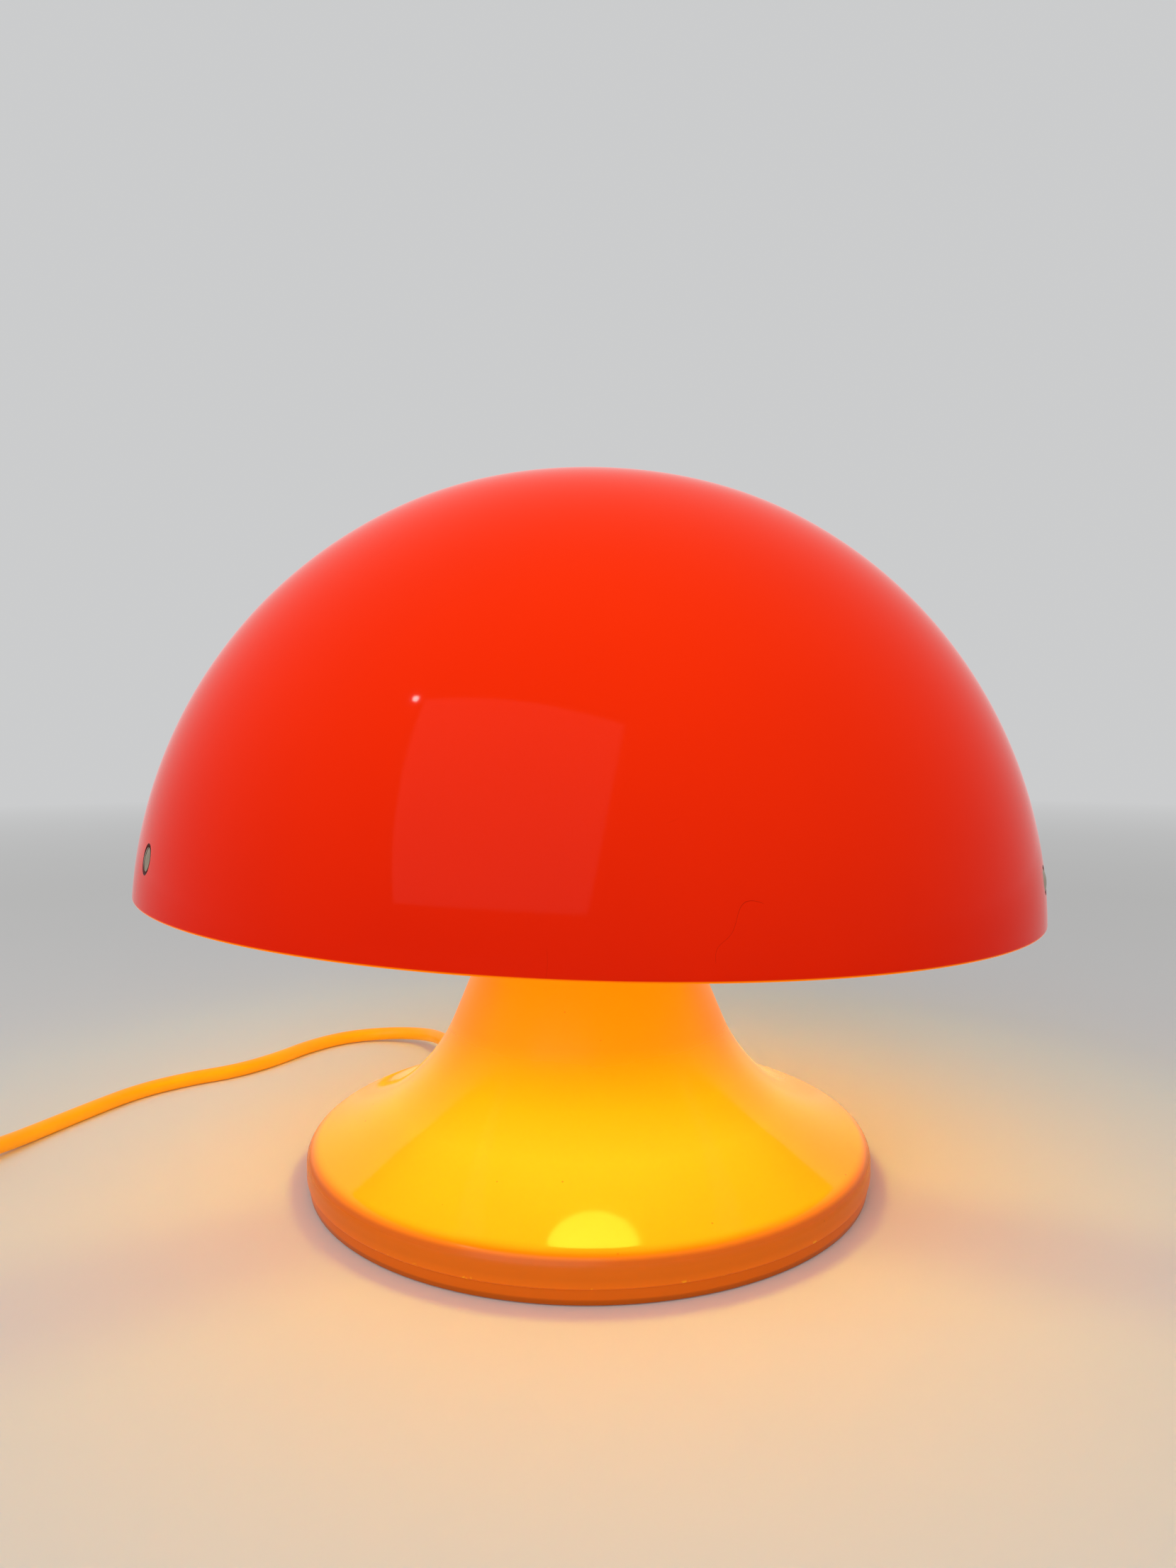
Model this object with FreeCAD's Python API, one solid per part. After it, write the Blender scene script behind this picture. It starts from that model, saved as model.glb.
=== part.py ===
"""Mushroom table lamp: opal dome on a three-armed carrier, trumpet base, lead with rocker switch.

Millimetres. The origin is on the table under the middle of the base, +Z is up, +X is to the
right and +Y to the back, where the lead leaves the base. Everything above the top face of the
neck leans to the right together, about that face's middle.
"""

import FreeCAD, Part
import math
import os

from FreeCAD import Vector

# Dome
shade_radius = 150.0          # outside, of the ball that the dome is cut from
shade_wall = 3.0
rim_height = 100.3            # of the dome's cut edge above the table
rim_above_equator = 7.0       # the ball is cut a little above its widest place
shoulder_radius = 130.0       # the dome flattens towards its crown
shoulder_start_deg = 60.0
shoulder_end_deg = 75.0
lean_deg = 1.9

# Screws of the dome
shade_screw_count = 3
shade_screw_deg = 93.7        # turn of the first screw, counted from +X
shade_screw_above_rim = 14.5
shade_screw_radius = 2.0
shade_screw_length = 11.6     # below the cone of the head
shade_head_radius = 3.4
shade_head_rim = 0.9          # upright part of the head, above its cone
shade_head_crown = 0.6        # rise of the head's middle above its rim
countersink_radius = 4.5
slot_width = 0.9
slot_depth = 0.9
thread_gap = 0.05
hole_gap = 0.25
shade_washer_radius = 4.4
shade_washer_thickness = 0.55
shade_nut_flats = 7.0
shade_nut_height = 3.2

# Carrier
strap_thickness = 2.0
strap_width = 14.0
strap_bend_radius = 4.0
arm_inner_radius = 12.5
arm_rise_radius = 46.0
tab_below_screw = 9.0
tab_above_screw = 8.0
hub_radius = 26.0
hub_thickness = 2.0
rivet_radius = 2.0
rivet_head_radius = 3.4
rivet_head_height = 1.3
rivet_places = (16.5, 22.5)

# Nipple through the neck
seat_height = 84.0
nipple_radius = 5.0
nipple_bore_radius = 3.5
nipple_below_seat = 13.0
nipple_nut_flats = 14.0
nipple_nut_height = 4.0
nipple_washer_radius = 9.0
nipple_washer_thickness = 0.8

# Lamp holder
holder_radius = 20.0
holder_wall = 2.6
holder_foot_radius = 12.0
holder_foot_height = 8.0
holder_cap_height = 15.0
holder_floor = 3.0
holder_thread_radius = 17.0
holder_thread_gap = 0.3
holder_seam_gap = 0.2
holder_body_height = 31.8
insulator_thickness = 5.0
insulator_radius = 14.9
sleeve_radius = 13.45         # inside
sleeve_wall = 0.5
sleeve_height = 22.0
button_radius = 2.6
button_height = 2.0
terminal_size = 5.0
terminal_place = 9.5

# Bulb
bulb_radius = 31.0
bulb_length = 108.0
bulb_glass_wall = 1.0
bulb_neck_radius = 13.2
bulb_neck_top = 44.0          # above the tip
bulb_cap_radius = 13.15
bulb_cap_height = 21.0
bulb_cap_wall = 0.5
bulb_thread_pitch = 3.63
bulb_thread_depth = 0.9
bulb_insulator_height = 2.7
bulb_tip_radius = 4.7
bulb_tip_height = 1.0
bulb_seat_gap = 0.3

# Trumpet base
base_radius = 98.4
base_wall = 3.0
lip_height = 5.1
band_top = 9.5
crease_radius = 5.7
flare_slope_deg = 17.1        # next to the crease
flare_straight = 1.0          # between the crease's rounding and the flare's
flare_radius = 95.9           # of the flare, up to the sweep
sweep_slope_deg = 27.7        # where the flare goes over into the sweep
sweep_radius = 63.0           # of the sweep, up to the neck
neck_radius = 35.2            # at the seat
neck_taper_deg = 22.5
neck_edge_radius = 3.0
lip_chamfer = 0.5
cut_margin = 15.0             # of holes and slots beyond both faces of the wall that they open

# Tray under the base
tray_bottom = 0.3
tray_ring_step = 0.8          # of the tray's ring in from the shell's edge
tray_bevel_width = 0.3
tray_bevel_height = 1.7
tray_foot_rounding = 0.4
tray_floor = 3.3
spigot_gap = 0.3
spigot_thickness = 2.6
spigot_top = 9.0
boss_count = 3
boss_inset = 23.4             # from the shell's edge to the middle of a boss
boss_deg = 50.0
boss_radius = 4.5
tray_screw_radius = 1.75
tray_screw_head_radius = 3.3
tray_screw_length = 15.0
pad_count = 4
pad_inset = 14.4              # from the shell's edge to the middle of a pad
pad_deg = 45.0
pad_radius = 7.0
pad_sunk = 1.0

# Ballast
ballast_radius = 52.0
ballast_bore = 24.0
ballast_thickness = 6.0
ballast_screw_place = 40.0
ballast_screw_deg = 20.0
ballast_screw_radius = 1.95
ballast_screw_head = 3.6
ballast_screw_head_height = 2.4
ballast_screw_depth = 2.0     # into the tray's floor

# Lead
flex_radius = 3.0
flex_gap = 0.05
core_radius = 1.1
core_apart = 1.3
exit_deg = 120.0
exit_height = 8.6
gland_wall = 0.95
gland_tip_wall = 0.65
gland_collar_rim = 1.2
gland_collar_thickness = 2.0
gland_flange_rim = 0.8
gland_flange_thickness = 1.8
gland_length = 26.5
gland_play = 0.2
sheath_end = 58.0

# Clamp of the lead
clamp_inset = 18.4            # from the shell's edge to the middle of the clamp
clamp_length = 24.0
clamp_width = 8.0
clamp_thickness = 2.6
clamp_post_radius = 3.6
clamp_post_apart = 8.5
clamp_bite = 0.4              # of the bar and the saddle beyond the sides of the lead
clamp_screw_radius = 1.45
clamp_screw_head = 2.7
clamp_screw_head_height = 1.8
clamp_screw_length = 6.0

# Switch in the lead
switch_x = -232.5
switch_y = -70.5
switch_deg = 257.0
switch_length = 62.0
switch_width = 24.0
switch_height = 15.0
switch_wall = 2.0
switch_corner = 6.0
switch_edge = 1.6
switch_axis = 7.5
switch_boot_length = 9.0
switch_boot_radius = 5.5
switch_boot_tip = 4.2
switch_screw_x = 24.0
switch_screw_y = 6.6
switch_screw_radius = 1.3
switch_screw_head = 2.5
switch_boss_radius = 2.9
rocker_length = 19.2
rocker_width = 11.2
rocker_gap = 0.6
rocker_top = 3.2
rocker_dip = 1.6
rocker_tilt_deg = 8.0
pivot_height = 11.8
pivot_radius = 1.2
cheek_thickness = 1.8
cheek_depth = 4.6
switch_flex_stop = 19.0       # where the lead ends inside, from the switch's middle
contact_top = 8.2
contact_thickness = 0.8

# Coil of the put-away length
coil_x = -303.0
coil_y = -95.0
coil_inner = 24.8             # of the centre line of the tightest turn
coil_pitch = 6.45
turns_in = 3.0
turns_out = 3.25
coil_start_deg = 270.0
tie_deg = 45.0
tie_thickness = 0.7
tie_width = 5.0
tie_gap = 0.1
tie_side_gap = 0.5

# Plug
plug_length = 36.0
plug_width = 25.2
plug_back_width = 13.0
plug_shoulder = 14.0
plug_height = 13.6
plug_edge = 2.4
plug_x = -329.5
plug_y = -49.5
plug_deg = 38.0
plug_boot_length = 22.0
plug_boot_radius = 5.4
plug_boot_tip = 3.8
pin_radius = 2.0
pin_core_radius = 1.5
pin_apart = 19.0
pin_length = 19.0
pin_sleeve = 10.0
pin_in_plug = 12.0
plug_flex_depth = 8.0         # of the lead inside the plug

# Points of the free stretches, chosen by hand, without the straight ends that the pieces give
lead_route = [
    Vector(-80.0, 138.0, 5.8),
    Vector(-99.5, 147.0, 3.8),
    Vector(-120.5, 143.0, 3.1),
    Vector(-135.5, 127.0, 3.1),
    Vector(-145.0, 107.5, 3.1),
    Vector(-158.0, 90.0, 3.1),
    Vector(-176.0, 79.0, 3.1),
    Vector(-191.0, 63.5, 3.1),
    Vector(-200.0, 44.0, 3.1),
    Vector(-208.0, 24.0, 3.1),
    Vector(-214.5, 3.0, 4.0),
]
tail_route = [
    Vector(-254.5, -134.0, 6.0),
    Vector(-269.0, -139.6, 4.6),
]
straight_end = 13.0
straight_at_plug = 15.0

up = Vector(0, 0, 1)
origin = Vector(0, 0, 0)


# Helpers

def point(radius, height):
    return Vector(radius, 0, height)


def turned_from_x(distance, degrees, height=0.0):
    angle = math.radians(degrees)
    return Vector(distance * math.cos(angle), distance * math.sin(angle), height)


def corner_arc(start, corner, end):
    """Arc that leaves start and reaches end, square to the bisector at their common corner."""
    chord_middle = (start + end) / 2
    rise = corner - chord_middle
    half_chord = (end - start).Length / 2
    bend = math.atan2(rise.Length, half_chord)
    top = chord_middle + rise * (half_chord * math.tan(bend / 2) / rise.Length)
    return Part.Arc(start, top, end).toShape()


def outline(points, radii):
    """Closed outline through the points, with each corner rounded by its own radius."""
    count = len(points)
    ends = []
    for i in range(count):
        corner = points[i]
        if radii[i] == 0:
            ends.append((corner, corner))
            continue
        back = (points[i - 1] - corner).normalize()
        on = (points[(i + 1) % count] - corner).normalize()
        run = radii[i] / math.tan(back.getAngle(on) / 2)
        ends.append((corner + back * run, corner + on * run))
    edges = []
    for i in range(count):
        first, last = ends[i]
        following = ends[(i + 1) % count][0]
        if radii[i] != 0:
            edges.append(corner_arc(first, points[i], last))
        if (following - last).Length > 1e-6:
            edges.append(Part.LineSegment(last, following).toShape())
    return Part.Wire(edges)


def spun(points, radii=None):
    """Solid of revolution about Z from (radius, height) pairs."""
    corners = [point(r, z) for r, z in points]
    wire = outline(corners, radii or [0] * len(corners))
    return Part.Face(wire).revolve(origin, up, 360)


def disc(radius, bottom, thickness, bore=0.0, place=origin):
    solid = Part.makeCylinder(radius, thickness, place + up * bottom)
    if bore > 0:
        solid = solid.cut(Part.makeCylinder(bore, thickness, place + up * bottom))
    return solid


def hexagon(flats, bottom, height, bore):
    corner = flats / math.sqrt(3)
    points = [turned_from_x(corner, 60 * i, bottom) for i in range(7)]
    prism = Part.Face(Part.makePolygon(points)).extrude(up * height)
    return prism.cut(Part.makeCylinder(bore, height, up * bottom))


def block(length, width, height, middle):
    corner = middle - Vector(length / 2, width / 2, height / 2)
    return Part.makeBox(length, width, height, corner)


def slot(width, depth, reach, top):
    return Part.makeBox(2 * reach, width, 2 * depth, Vector(-reach, -width / 2, top - depth))


def around(shape, count, start_deg):
    """Copies of a shape about Z, evenly spaced."""
    copies = []
    for i in range(count):
        copy = shape.copy()
        copy.rotate(origin, up, start_deg + 360.0 * i / count)
        copies.append(copy)
    return copies


def leaned(shape):
    """Everything above the neck, turned about the middle of the seat."""
    copy = shape.copy()
    copy.rotate(Vector(0, 0, seat_height), Vector(0, 1, 0), lean_deg)
    return copy


def onto_x(shape):
    """A shape spun about Z, laid along +X."""
    copy = shape.copy()
    copy.rotate(origin, Vector(0, 1, 0), 90)
    return copy


def below_seat(depth):
    size = 4 * base_radius
    corner = Vector(-size / 2, -size / 2, seat_height - depth - size)
    return leaned(Part.makeBox(size, size, size, corner))


def corner_radii(route):
    """Radius at each inner point of a route: 0.45 of the shorter run over tan(half the turn)."""
    radii = []
    for before, corner, after in zip(route, route[1:], route[2:]):
        run = 0.45 * min((corner - before).Length, (after - corner).Length)
        turn = (corner - before).getAngle(after - corner)
        radii.append(run / math.tan(turn / 2))
    return radii


def route_edges(route):
    """Straight runs joined by tangent arcs."""
    edges = []
    last = route[0]
    for before, corner, after in zip(route, route[1:], route[2:]):
        run = 0.45 * min((corner - before).Length, (after - corner).Length)
        start = corner + (before - corner).normalize() * run
        end = corner + (after - corner).normalize() * run
        edges.append(Part.LineSegment(last, start).toShape())
        edges.append(corner_arc(start, corner, end))
        last = end
    edges.append(Part.LineSegment(last, route[-1]).toShape())
    return edges


def piped(edges, radius, label):
    """Round tube along a chain of edges, with its figures printed."""
    first = edges[0]
    start = first.valueAt(first.FirstParameter)
    way = first.tangentAt(first.FirstParameter)
    ring = Part.Wire(Part.makeCircle(radius, start, way))
    tube = Part.Wire(edges).makePipeShell([ring], True, False)
    length = sum(edge.Length for edge in edges)
    share = tube.Volume / (math.pi * radius ** 2 * length)
    print(f"{label}: length {length:.1f} mm, volume over section times length {share:.4f}")
    return tube


def tube(route, radius, label):
    radii = corner_radii(route)
    print(f"{label}: bend radii " + " ".join(f"{r:.1f}" for r in radii))
    return piped(route_edges(route), radius, label)


def biarc(start, start_way, end, end_way):
    """Two tangent arcs between two points with given directions."""
    gap = end - start
    spread = 2 * (1 - start_way.dot(end_way))
    along = gap.dot(start_way + end_way)
    reach = (math.sqrt(along ** 2 + spread * gap.dot(gap)) - along) / spread
    first = start + start_way * reach
    second = end - end_way * reach
    middle = (first + second) / 2
    return [corner_arc(start, first, middle), corner_arc(middle, second, end)]


# Dome

ball_centre = rim_height - rim_above_equator


def dome_arcs(inset):
    """Ball, shoulder and crown arcs of the dome's section, from its rim to its top."""
    ball = shade_radius - inset
    rim = math.asin(rim_above_equator / ball)
    start = math.radians(shoulder_start_deg)
    end = math.radians(shoulder_end_deg)
    off = shade_radius - shoulder_radius
    shoulder_r = off * math.cos(start)
    shoulder_z = ball_centre + off * math.sin(start)
    shoulder = shoulder_radius - inset
    drop = shoulder_r / math.cos(end)
    crown_z = shoulder_z - drop * math.sin(end)
    crown = shoulder + drop

    def arc(centre_r, centre_z, radius, low, high):
        ways = (low, (low + high) / 2, high)
        return [point(centre_r + radius * math.cos(a), centre_z + radius * math.sin(a)) for a in ways]

    return [
        arc(0, ball_centre, ball, rim, start),
        arc(shoulder_r, shoulder_z, shoulder, start, end),
        arc(0, crown_z, crown, end, math.pi / 2),
    ]


def at_shade_screw(shape):
    """Places a shape built along +X from the ball's centre at each screw of the dome."""
    rise = math.degrees(math.asin((rim_above_equator + shade_screw_above_rim) / shade_radius))
    raised = shape.copy()
    raised.rotate(origin, Vector(0, 1, 0), -rise)
    raised.translate(up * ball_centre)
    return [leaned(copy) for copy in around(raised, shade_screw_count, shade_screw_deg)]


def make_dome():
    outer = dome_arcs(0)
    inner = dome_arcs(shade_wall)
    edges = [Part.Arc(*points).toShape() for points in outer]
    edges.append(Part.LineSegment(outer[-1][2], inner[-1][2]).toShape())
    edges += [Part.Arc(*reversed(points)).toShape() for points in reversed(inner)]
    edges.append(Part.LineSegment(inner[0][0], outer[0][0]).toShape())
    dome = leaned(Part.Face(Part.Wire(edges)).revolve(origin, up, 360))
    hole = shade_screw_radius + hole_gap
    sunk = countersink_radius - hole
    cutter = onto_x(spun([
        (0, shade_radius - 2 * shade_wall),
        (hole, shade_radius - 2 * shade_wall),
        (hole, shade_radius - sunk),
        (countersink_radius, shade_radius),
        (countersink_radius, shade_radius + shade_wall),
        (0, shade_radius + shade_wall),
    ]))
    for copy in at_shade_screw(cutter):
        dome = dome.cut(copy)
    return dome


head_seat = shade_radius - (countersink_radius - shade_head_radius) + thread_gap
head_face = head_seat + shade_head_rim
inner_ball = shade_radius - shade_wall
washer_face = math.sqrt(inner_ball ** 2 - shade_washer_radius ** 2) - thread_gap
tab_face = washer_face - shade_washer_thickness
nut_face = tab_face - strap_thickness


def crown(radius, bottom, height):
    """Cap of a ball, with its flat face at the bottom."""
    ball = (radius ** 2 + height ** 2) / (2 * height)
    sphere = Part.makeSphere(ball, up * (bottom + height - ball))
    return sphere.common(Part.makeCylinder(radius, height, up * bottom))


def make_shade_screws():
    """Raised countersunk screws, whose crowns stand a little proud of the dome."""
    tip = head_seat - shade_screw_length
    screw = spun([
        (0, tip),
        (shade_screw_radius - 0.4, tip),
        (shade_screw_radius, tip + 0.4),
        (shade_screw_radius, head_seat - (shade_head_radius - shade_screw_radius)),
        (shade_head_radius, head_seat),
        (shade_head_radius, head_face),
        (0, head_face),
    ])
    screw = screw.fuse(crown(shade_head_radius, head_face, shade_head_crown)).removeSplitter()
    head_top = head_face + shade_head_crown
    screw = screw.cut(slot(slot_width, slot_depth, shade_head_radius + 1, head_top))
    return Part.makeCompound(at_shade_screw(onto_x(screw)))


def make_shade_washers():
    bore = shade_screw_radius + hole_gap
    washer = disc(shade_washer_radius, tab_face, shade_washer_thickness, bore)
    return Part.makeCompound(at_shade_screw(onto_x(washer)))


def make_shade_nuts():
    bore = shade_screw_radius + thread_gap
    nut = hexagon(shade_nut_flats, nut_face - shade_nut_height, shade_nut_height, bore)
    return Part.makeCompound(at_shade_screw(onto_x(nut)))


# Carrier

hub_top = seat_height + hub_thickness


def strap(path, bend):
    """Flat strap with the section's middle on the path in XZ, which bends upwards only."""
    half = strap_thickness / 2
    left = []
    right = []
    for i, corner in enumerate(path):
        ways = []
        if i > 0:
            ways.append((corner - path[i - 1]).normalize())
        if i < len(path) - 1:
            ways.append((path[i + 1] - corner).normalize())
        normals = [Vector(-way.z, 0, way.x) for way in ways]
        middle = sum(normals[1:], normals[0]).normalize()
        shift = middle * (half / middle.dot(normals[0]))
        left.append(corner + shift)
        right.append(corner - shift)
    inner = [0] + [bend - half] * (len(path) - 2) + [0]
    outer = [0] + [bend + half] * (len(path) - 2) + [0]
    face = Part.Face(outline(left + right[::-1], inner + outer[::-1]))
    solid = face.extrude(Vector(0, strap_width, 0))
    solid.translate(Vector(0, -strap_width / 2, 0))
    return solid


def make_arm():
    rise = math.asin((rim_above_equator + shade_screw_above_rim) / shade_radius)
    middle = tab_face - strap_thickness / 2
    screw = point(middle * math.cos(rise), ball_centre + middle * math.sin(rise))
    along = Vector(-math.sin(rise), 0, math.cos(rise))
    level = hub_top + strap_thickness / 2
    arm = strap([
        point(arm_inner_radius, level),
        point(arm_rise_radius, level),
        screw - along * tab_below_screw,
        screw + along * tab_above_screw,
    ], strap_bend_radius)
    for place in rivet_places:
        hole = rivet_radius + thread_gap
        arm = arm.cut(Part.makeCylinder(hole, 2 * strap_thickness, point(place, hub_top - 1)))
    return arm


def make_arms():
    arms = [leaned(arm) for arm in around(make_arm(), shade_screw_count, shade_screw_deg)]
    bore = shade_screw_radius + hole_gap
    drill = onto_x(disc(bore, nut_face - strap_thickness, 3 * strap_thickness))
    for cutter in at_shade_screw(drill):
        arms = [arm.cut(cutter) for arm in arms]
    return arms


def make_hub():
    hub = disc(hub_radius, seat_height, hub_thickness, nipple_radius + hole_gap)
    for place in rivet_places:
        hole = Part.makeCylinder(rivet_radius + thread_gap, hub_thickness, point(place, seat_height))
        for copy in around(hole, shade_screw_count, shade_screw_deg):
            hub = hub.cut(copy)
    return leaned(hub)


def make_rivets():
    top = hub_top + strap_thickness
    rivet = spun([
        (0, seat_height),
        (rivet_radius, seat_height),
        (rivet_radius, top),
        (rivet_head_radius, top),
        (rivet_head_radius * 0.7, top + rivet_head_height),
        (0, top + rivet_head_height),
    ])
    rivets = []
    for place in rivet_places:
        copy = rivet.copy()
        copy.translate(Vector(place, 0, 0))
        rivets += around(copy, shade_screw_count, shade_screw_deg)
    return Part.makeCompound([leaned(copy) for copy in rivets])


# Nipple and its nuts

upper_washer = hub_top
upper_nut = upper_washer + nipple_washer_thickness
holder_bottom = upper_nut + nipple_nut_height + holder_seam_gap
nipple_top = holder_bottom + holder_floor + 2.0
plate_under = seat_height - base_wall
lower_washer = plate_under - nipple_washer_thickness
lower_nut = lower_washer - nipple_nut_height


def make_nipple():
    bottom = seat_height - nipple_below_seat
    return leaned(disc(nipple_radius, bottom, nipple_top - bottom, nipple_bore_radius))


def make_nipple_washers():
    bore = nipple_radius + hole_gap
    pair = [
        disc(nipple_washer_radius, bottom, nipple_washer_thickness, bore)
        for bottom in (lower_washer, upper_washer)
    ]
    return leaned(Part.makeCompound(pair))


def make_nipple_nuts():
    bore = nipple_radius + thread_gap
    pair = [
        hexagon(nipple_nut_flats, bottom, nipple_nut_height, bore)
        for bottom in (lower_nut, upper_nut)
    ]
    return leaned(Part.makeCompound(pair))


# Lamp holder

cap_rim = holder_bottom + holder_cap_height
cap_shoulder = holder_bottom + holder_foot_height
ledge = cap_rim - 4.0
insulator_top = ledge + insulator_thickness
holder_top = cap_shoulder + holder_seam_gap + holder_body_height
tip_height = insulator_top + button_height + bulb_seat_gap
terminal_bottom = ledge - terminal_size


def make_holder_cap():
    cavity = holder_thread_radius - holder_wall / 2
    cap = spun([
        (nipple_radius + thread_gap, holder_bottom),
        (holder_foot_radius, holder_bottom),
        (holder_radius, cap_shoulder - 2.0),
        (holder_radius, cap_shoulder),
        (holder_thread_radius, cap_shoulder),
        (holder_thread_radius, cap_rim),
        (cavity, cap_rim),
        (cavity, ledge),
        (cavity - 1.6, ledge),
        (cavity - 1.6, cap_shoulder - 1.0),
        (holder_foot_radius - holder_wall, holder_bottom + holder_floor),
        (nipple_radius + thread_gap, holder_bottom + holder_floor),
    ], [0, 1.5, 3.0] + [0] * 9)
    return leaned(cap)


def make_holder_body():
    bottom = cap_shoulder + holder_seam_gap
    skirt = holder_thread_radius + holder_thread_gap
    bore = sleeve_radius + sleeve_wall + 0.6
    body = spun([
        (skirt, bottom),
        (holder_radius, bottom),
        (holder_radius, holder_top),
        (bore, holder_top),
        (bore, insulator_top + 0.4),
        (skirt, insulator_top + 0.4),
    ], [0, 0.6, 2.0, 0.8, 0, 0])
    return leaned(body)


def make_insulator():
    insulator = disc(insulator_radius, ledge, insulator_thickness)
    for side in (-1, 1):
        hole = Part.makeCylinder(1.5, insulator_thickness, Vector(side * terminal_place, 0, ledge))
        insulator = insulator.cut(hole)
    return leaned(insulator)


def make_sleeve():
    outside = sleeve_radius + sleeve_wall
    return leaned(spun([
        (outside - 4.0, insulator_top),
        (outside, insulator_top),
        (outside, insulator_top + sleeve_height),
        (sleeve_radius, insulator_top + sleeve_height),
        (sleeve_radius, insulator_top + sleeve_wall),
        (outside - 4.0, insulator_top + sleeve_wall),
    ]))


def make_contact():
    base = block(11, 5, 0.8, Vector(-2, 0, insulator_top + 0.4))
    button = Part.makeCylinder(button_radius, button_height, up * insulator_top)
    return leaned(base.fuse(button).removeSplitter())


def make_terminals():
    blocks = []
    for side in (-1, 1):
        middle = Vector(side * terminal_place, 0, terminal_bottom + terminal_size / 2)
        post = block(terminal_size, terminal_size, terminal_size, middle)
        stud = Part.makeCylinder(1.3, insulator_thickness - 1, Vector(side * terminal_place, 0, ledge))
        screw = Part.makeCylinder(1.4, 1.2, middle + Vector(0, -terminal_size / 2, 0), Vector(0, -1, 0))
        blocks.append(post.fuse(stud).fuse(screw).removeSplitter())
    return leaned(Part.makeCompound(blocks))


# Bulb

bulb_top = tip_height + bulb_length
bulb_centre = bulb_top - bulb_radius
cap_bottom = tip_height + bulb_tip_height + bulb_insulator_height
cap_top = cap_bottom + bulb_cap_height


def glass_outline(inset):
    """Ball, straight cheek, and neck of the bulb, offset inwards."""
    ball = bulb_radius - inset
    neck = bulb_neck_radius - inset
    leave = math.radians(42)
    cheek = point(ball * math.cos(leave), bulb_centre - ball * math.sin(leave))
    run = (cheek.x - neck) / math.sin(leave)
    knee = cheek - Vector(math.sin(leave), 0, math.cos(leave)) * run
    return ball, cheek, knee, neck


def make_glass_solid(inset, bottom):
    ball, cheek, knee, neck = glass_outline(inset)
    foot_radius = bulb_cap_radius - bulb_cap_wall - bulb_thread_depth - 0.2 - inset
    bend = 16.0
    reach = bend * math.tan(cheek.sub(knee).getAngle(up) / 2)
    up_cheek = knee + (cheek - knee).normalize() * reach
    down_neck = knee - up * reach
    foot = tip_height + bulb_neck_top - 18.0
    edges = [
        Part.LineSegment(point(0, bottom), point(foot_radius, bottom)).toShape(),
        Part.LineSegment(point(foot_radius, bottom), point(foot_radius, foot)).toShape(),
        Part.LineSegment(point(foot_radius, foot), point(neck, foot + 2.0)).toShape(),
        Part.LineSegment(point(neck, foot + 2.0), down_neck).toShape(),
        corner_arc(down_neck, knee, up_cheek),
        Part.LineSegment(up_cheek, cheek).toShape(),
        Part.Arc(cheek, point(ball, bulb_centre), point(0, bulb_centre + ball)).toShape(),
        Part.LineSegment(point(0, bulb_centre + ball), point(0, bottom)).toShape(),
    ]
    return Part.Face(Part.Wire(edges)).revolve(origin, up, 360)


def make_bulb_glass():
    bottom = cap_top - 3.0
    glass = make_glass_solid(0, bottom)
    hollow = make_glass_solid(bulb_glass_wall, bottom - 1.0)
    return leaned(glass.cut(hollow))


def make_bulb_cap():
    """Shell with rounded thread rings, one pitch apart."""
    crest = bulb_cap_radius
    root = bulb_cap_radius - bulb_thread_depth
    points = [(11.0, cap_bottom), (root, cap_bottom + 1.2)]
    radii = [0, 0.6]
    rings = int((bulb_cap_height - 4.0) / bulb_thread_pitch)
    for i in range(rings):
        low = cap_bottom + 1.2 + bulb_thread_pitch * (i + 0.5)
        points += [(crest, low), (root, low + bulb_thread_pitch / 2)]
        radii += [0.7, 0.7]
    points += [(root, cap_top)]
    radii += [0]
    inside = root - bulb_cap_wall
    points += [(inside, cap_top), (inside, cap_bottom + 1.2), (10.4, cap_bottom)]
    radii += [0, 0, 0]
    return leaned(spun(points, radii))


def make_bulb_insulator():
    low = tip_height + bulb_tip_height
    return leaned(spun([(0, low), (6.0, low), (10.3, cap_bottom), (0, cap_bottom)]))


def make_bulb_tip():
    return leaned(spun(
        [
            (0, tip_height),
            (bulb_tip_radius, tip_height),
            (bulb_tip_radius, tip_height + bulb_tip_height),
            (0, tip_height + bulb_tip_height),
        ],
        [0, 0.6, 0, 0],
    ))


# Base shell

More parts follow.
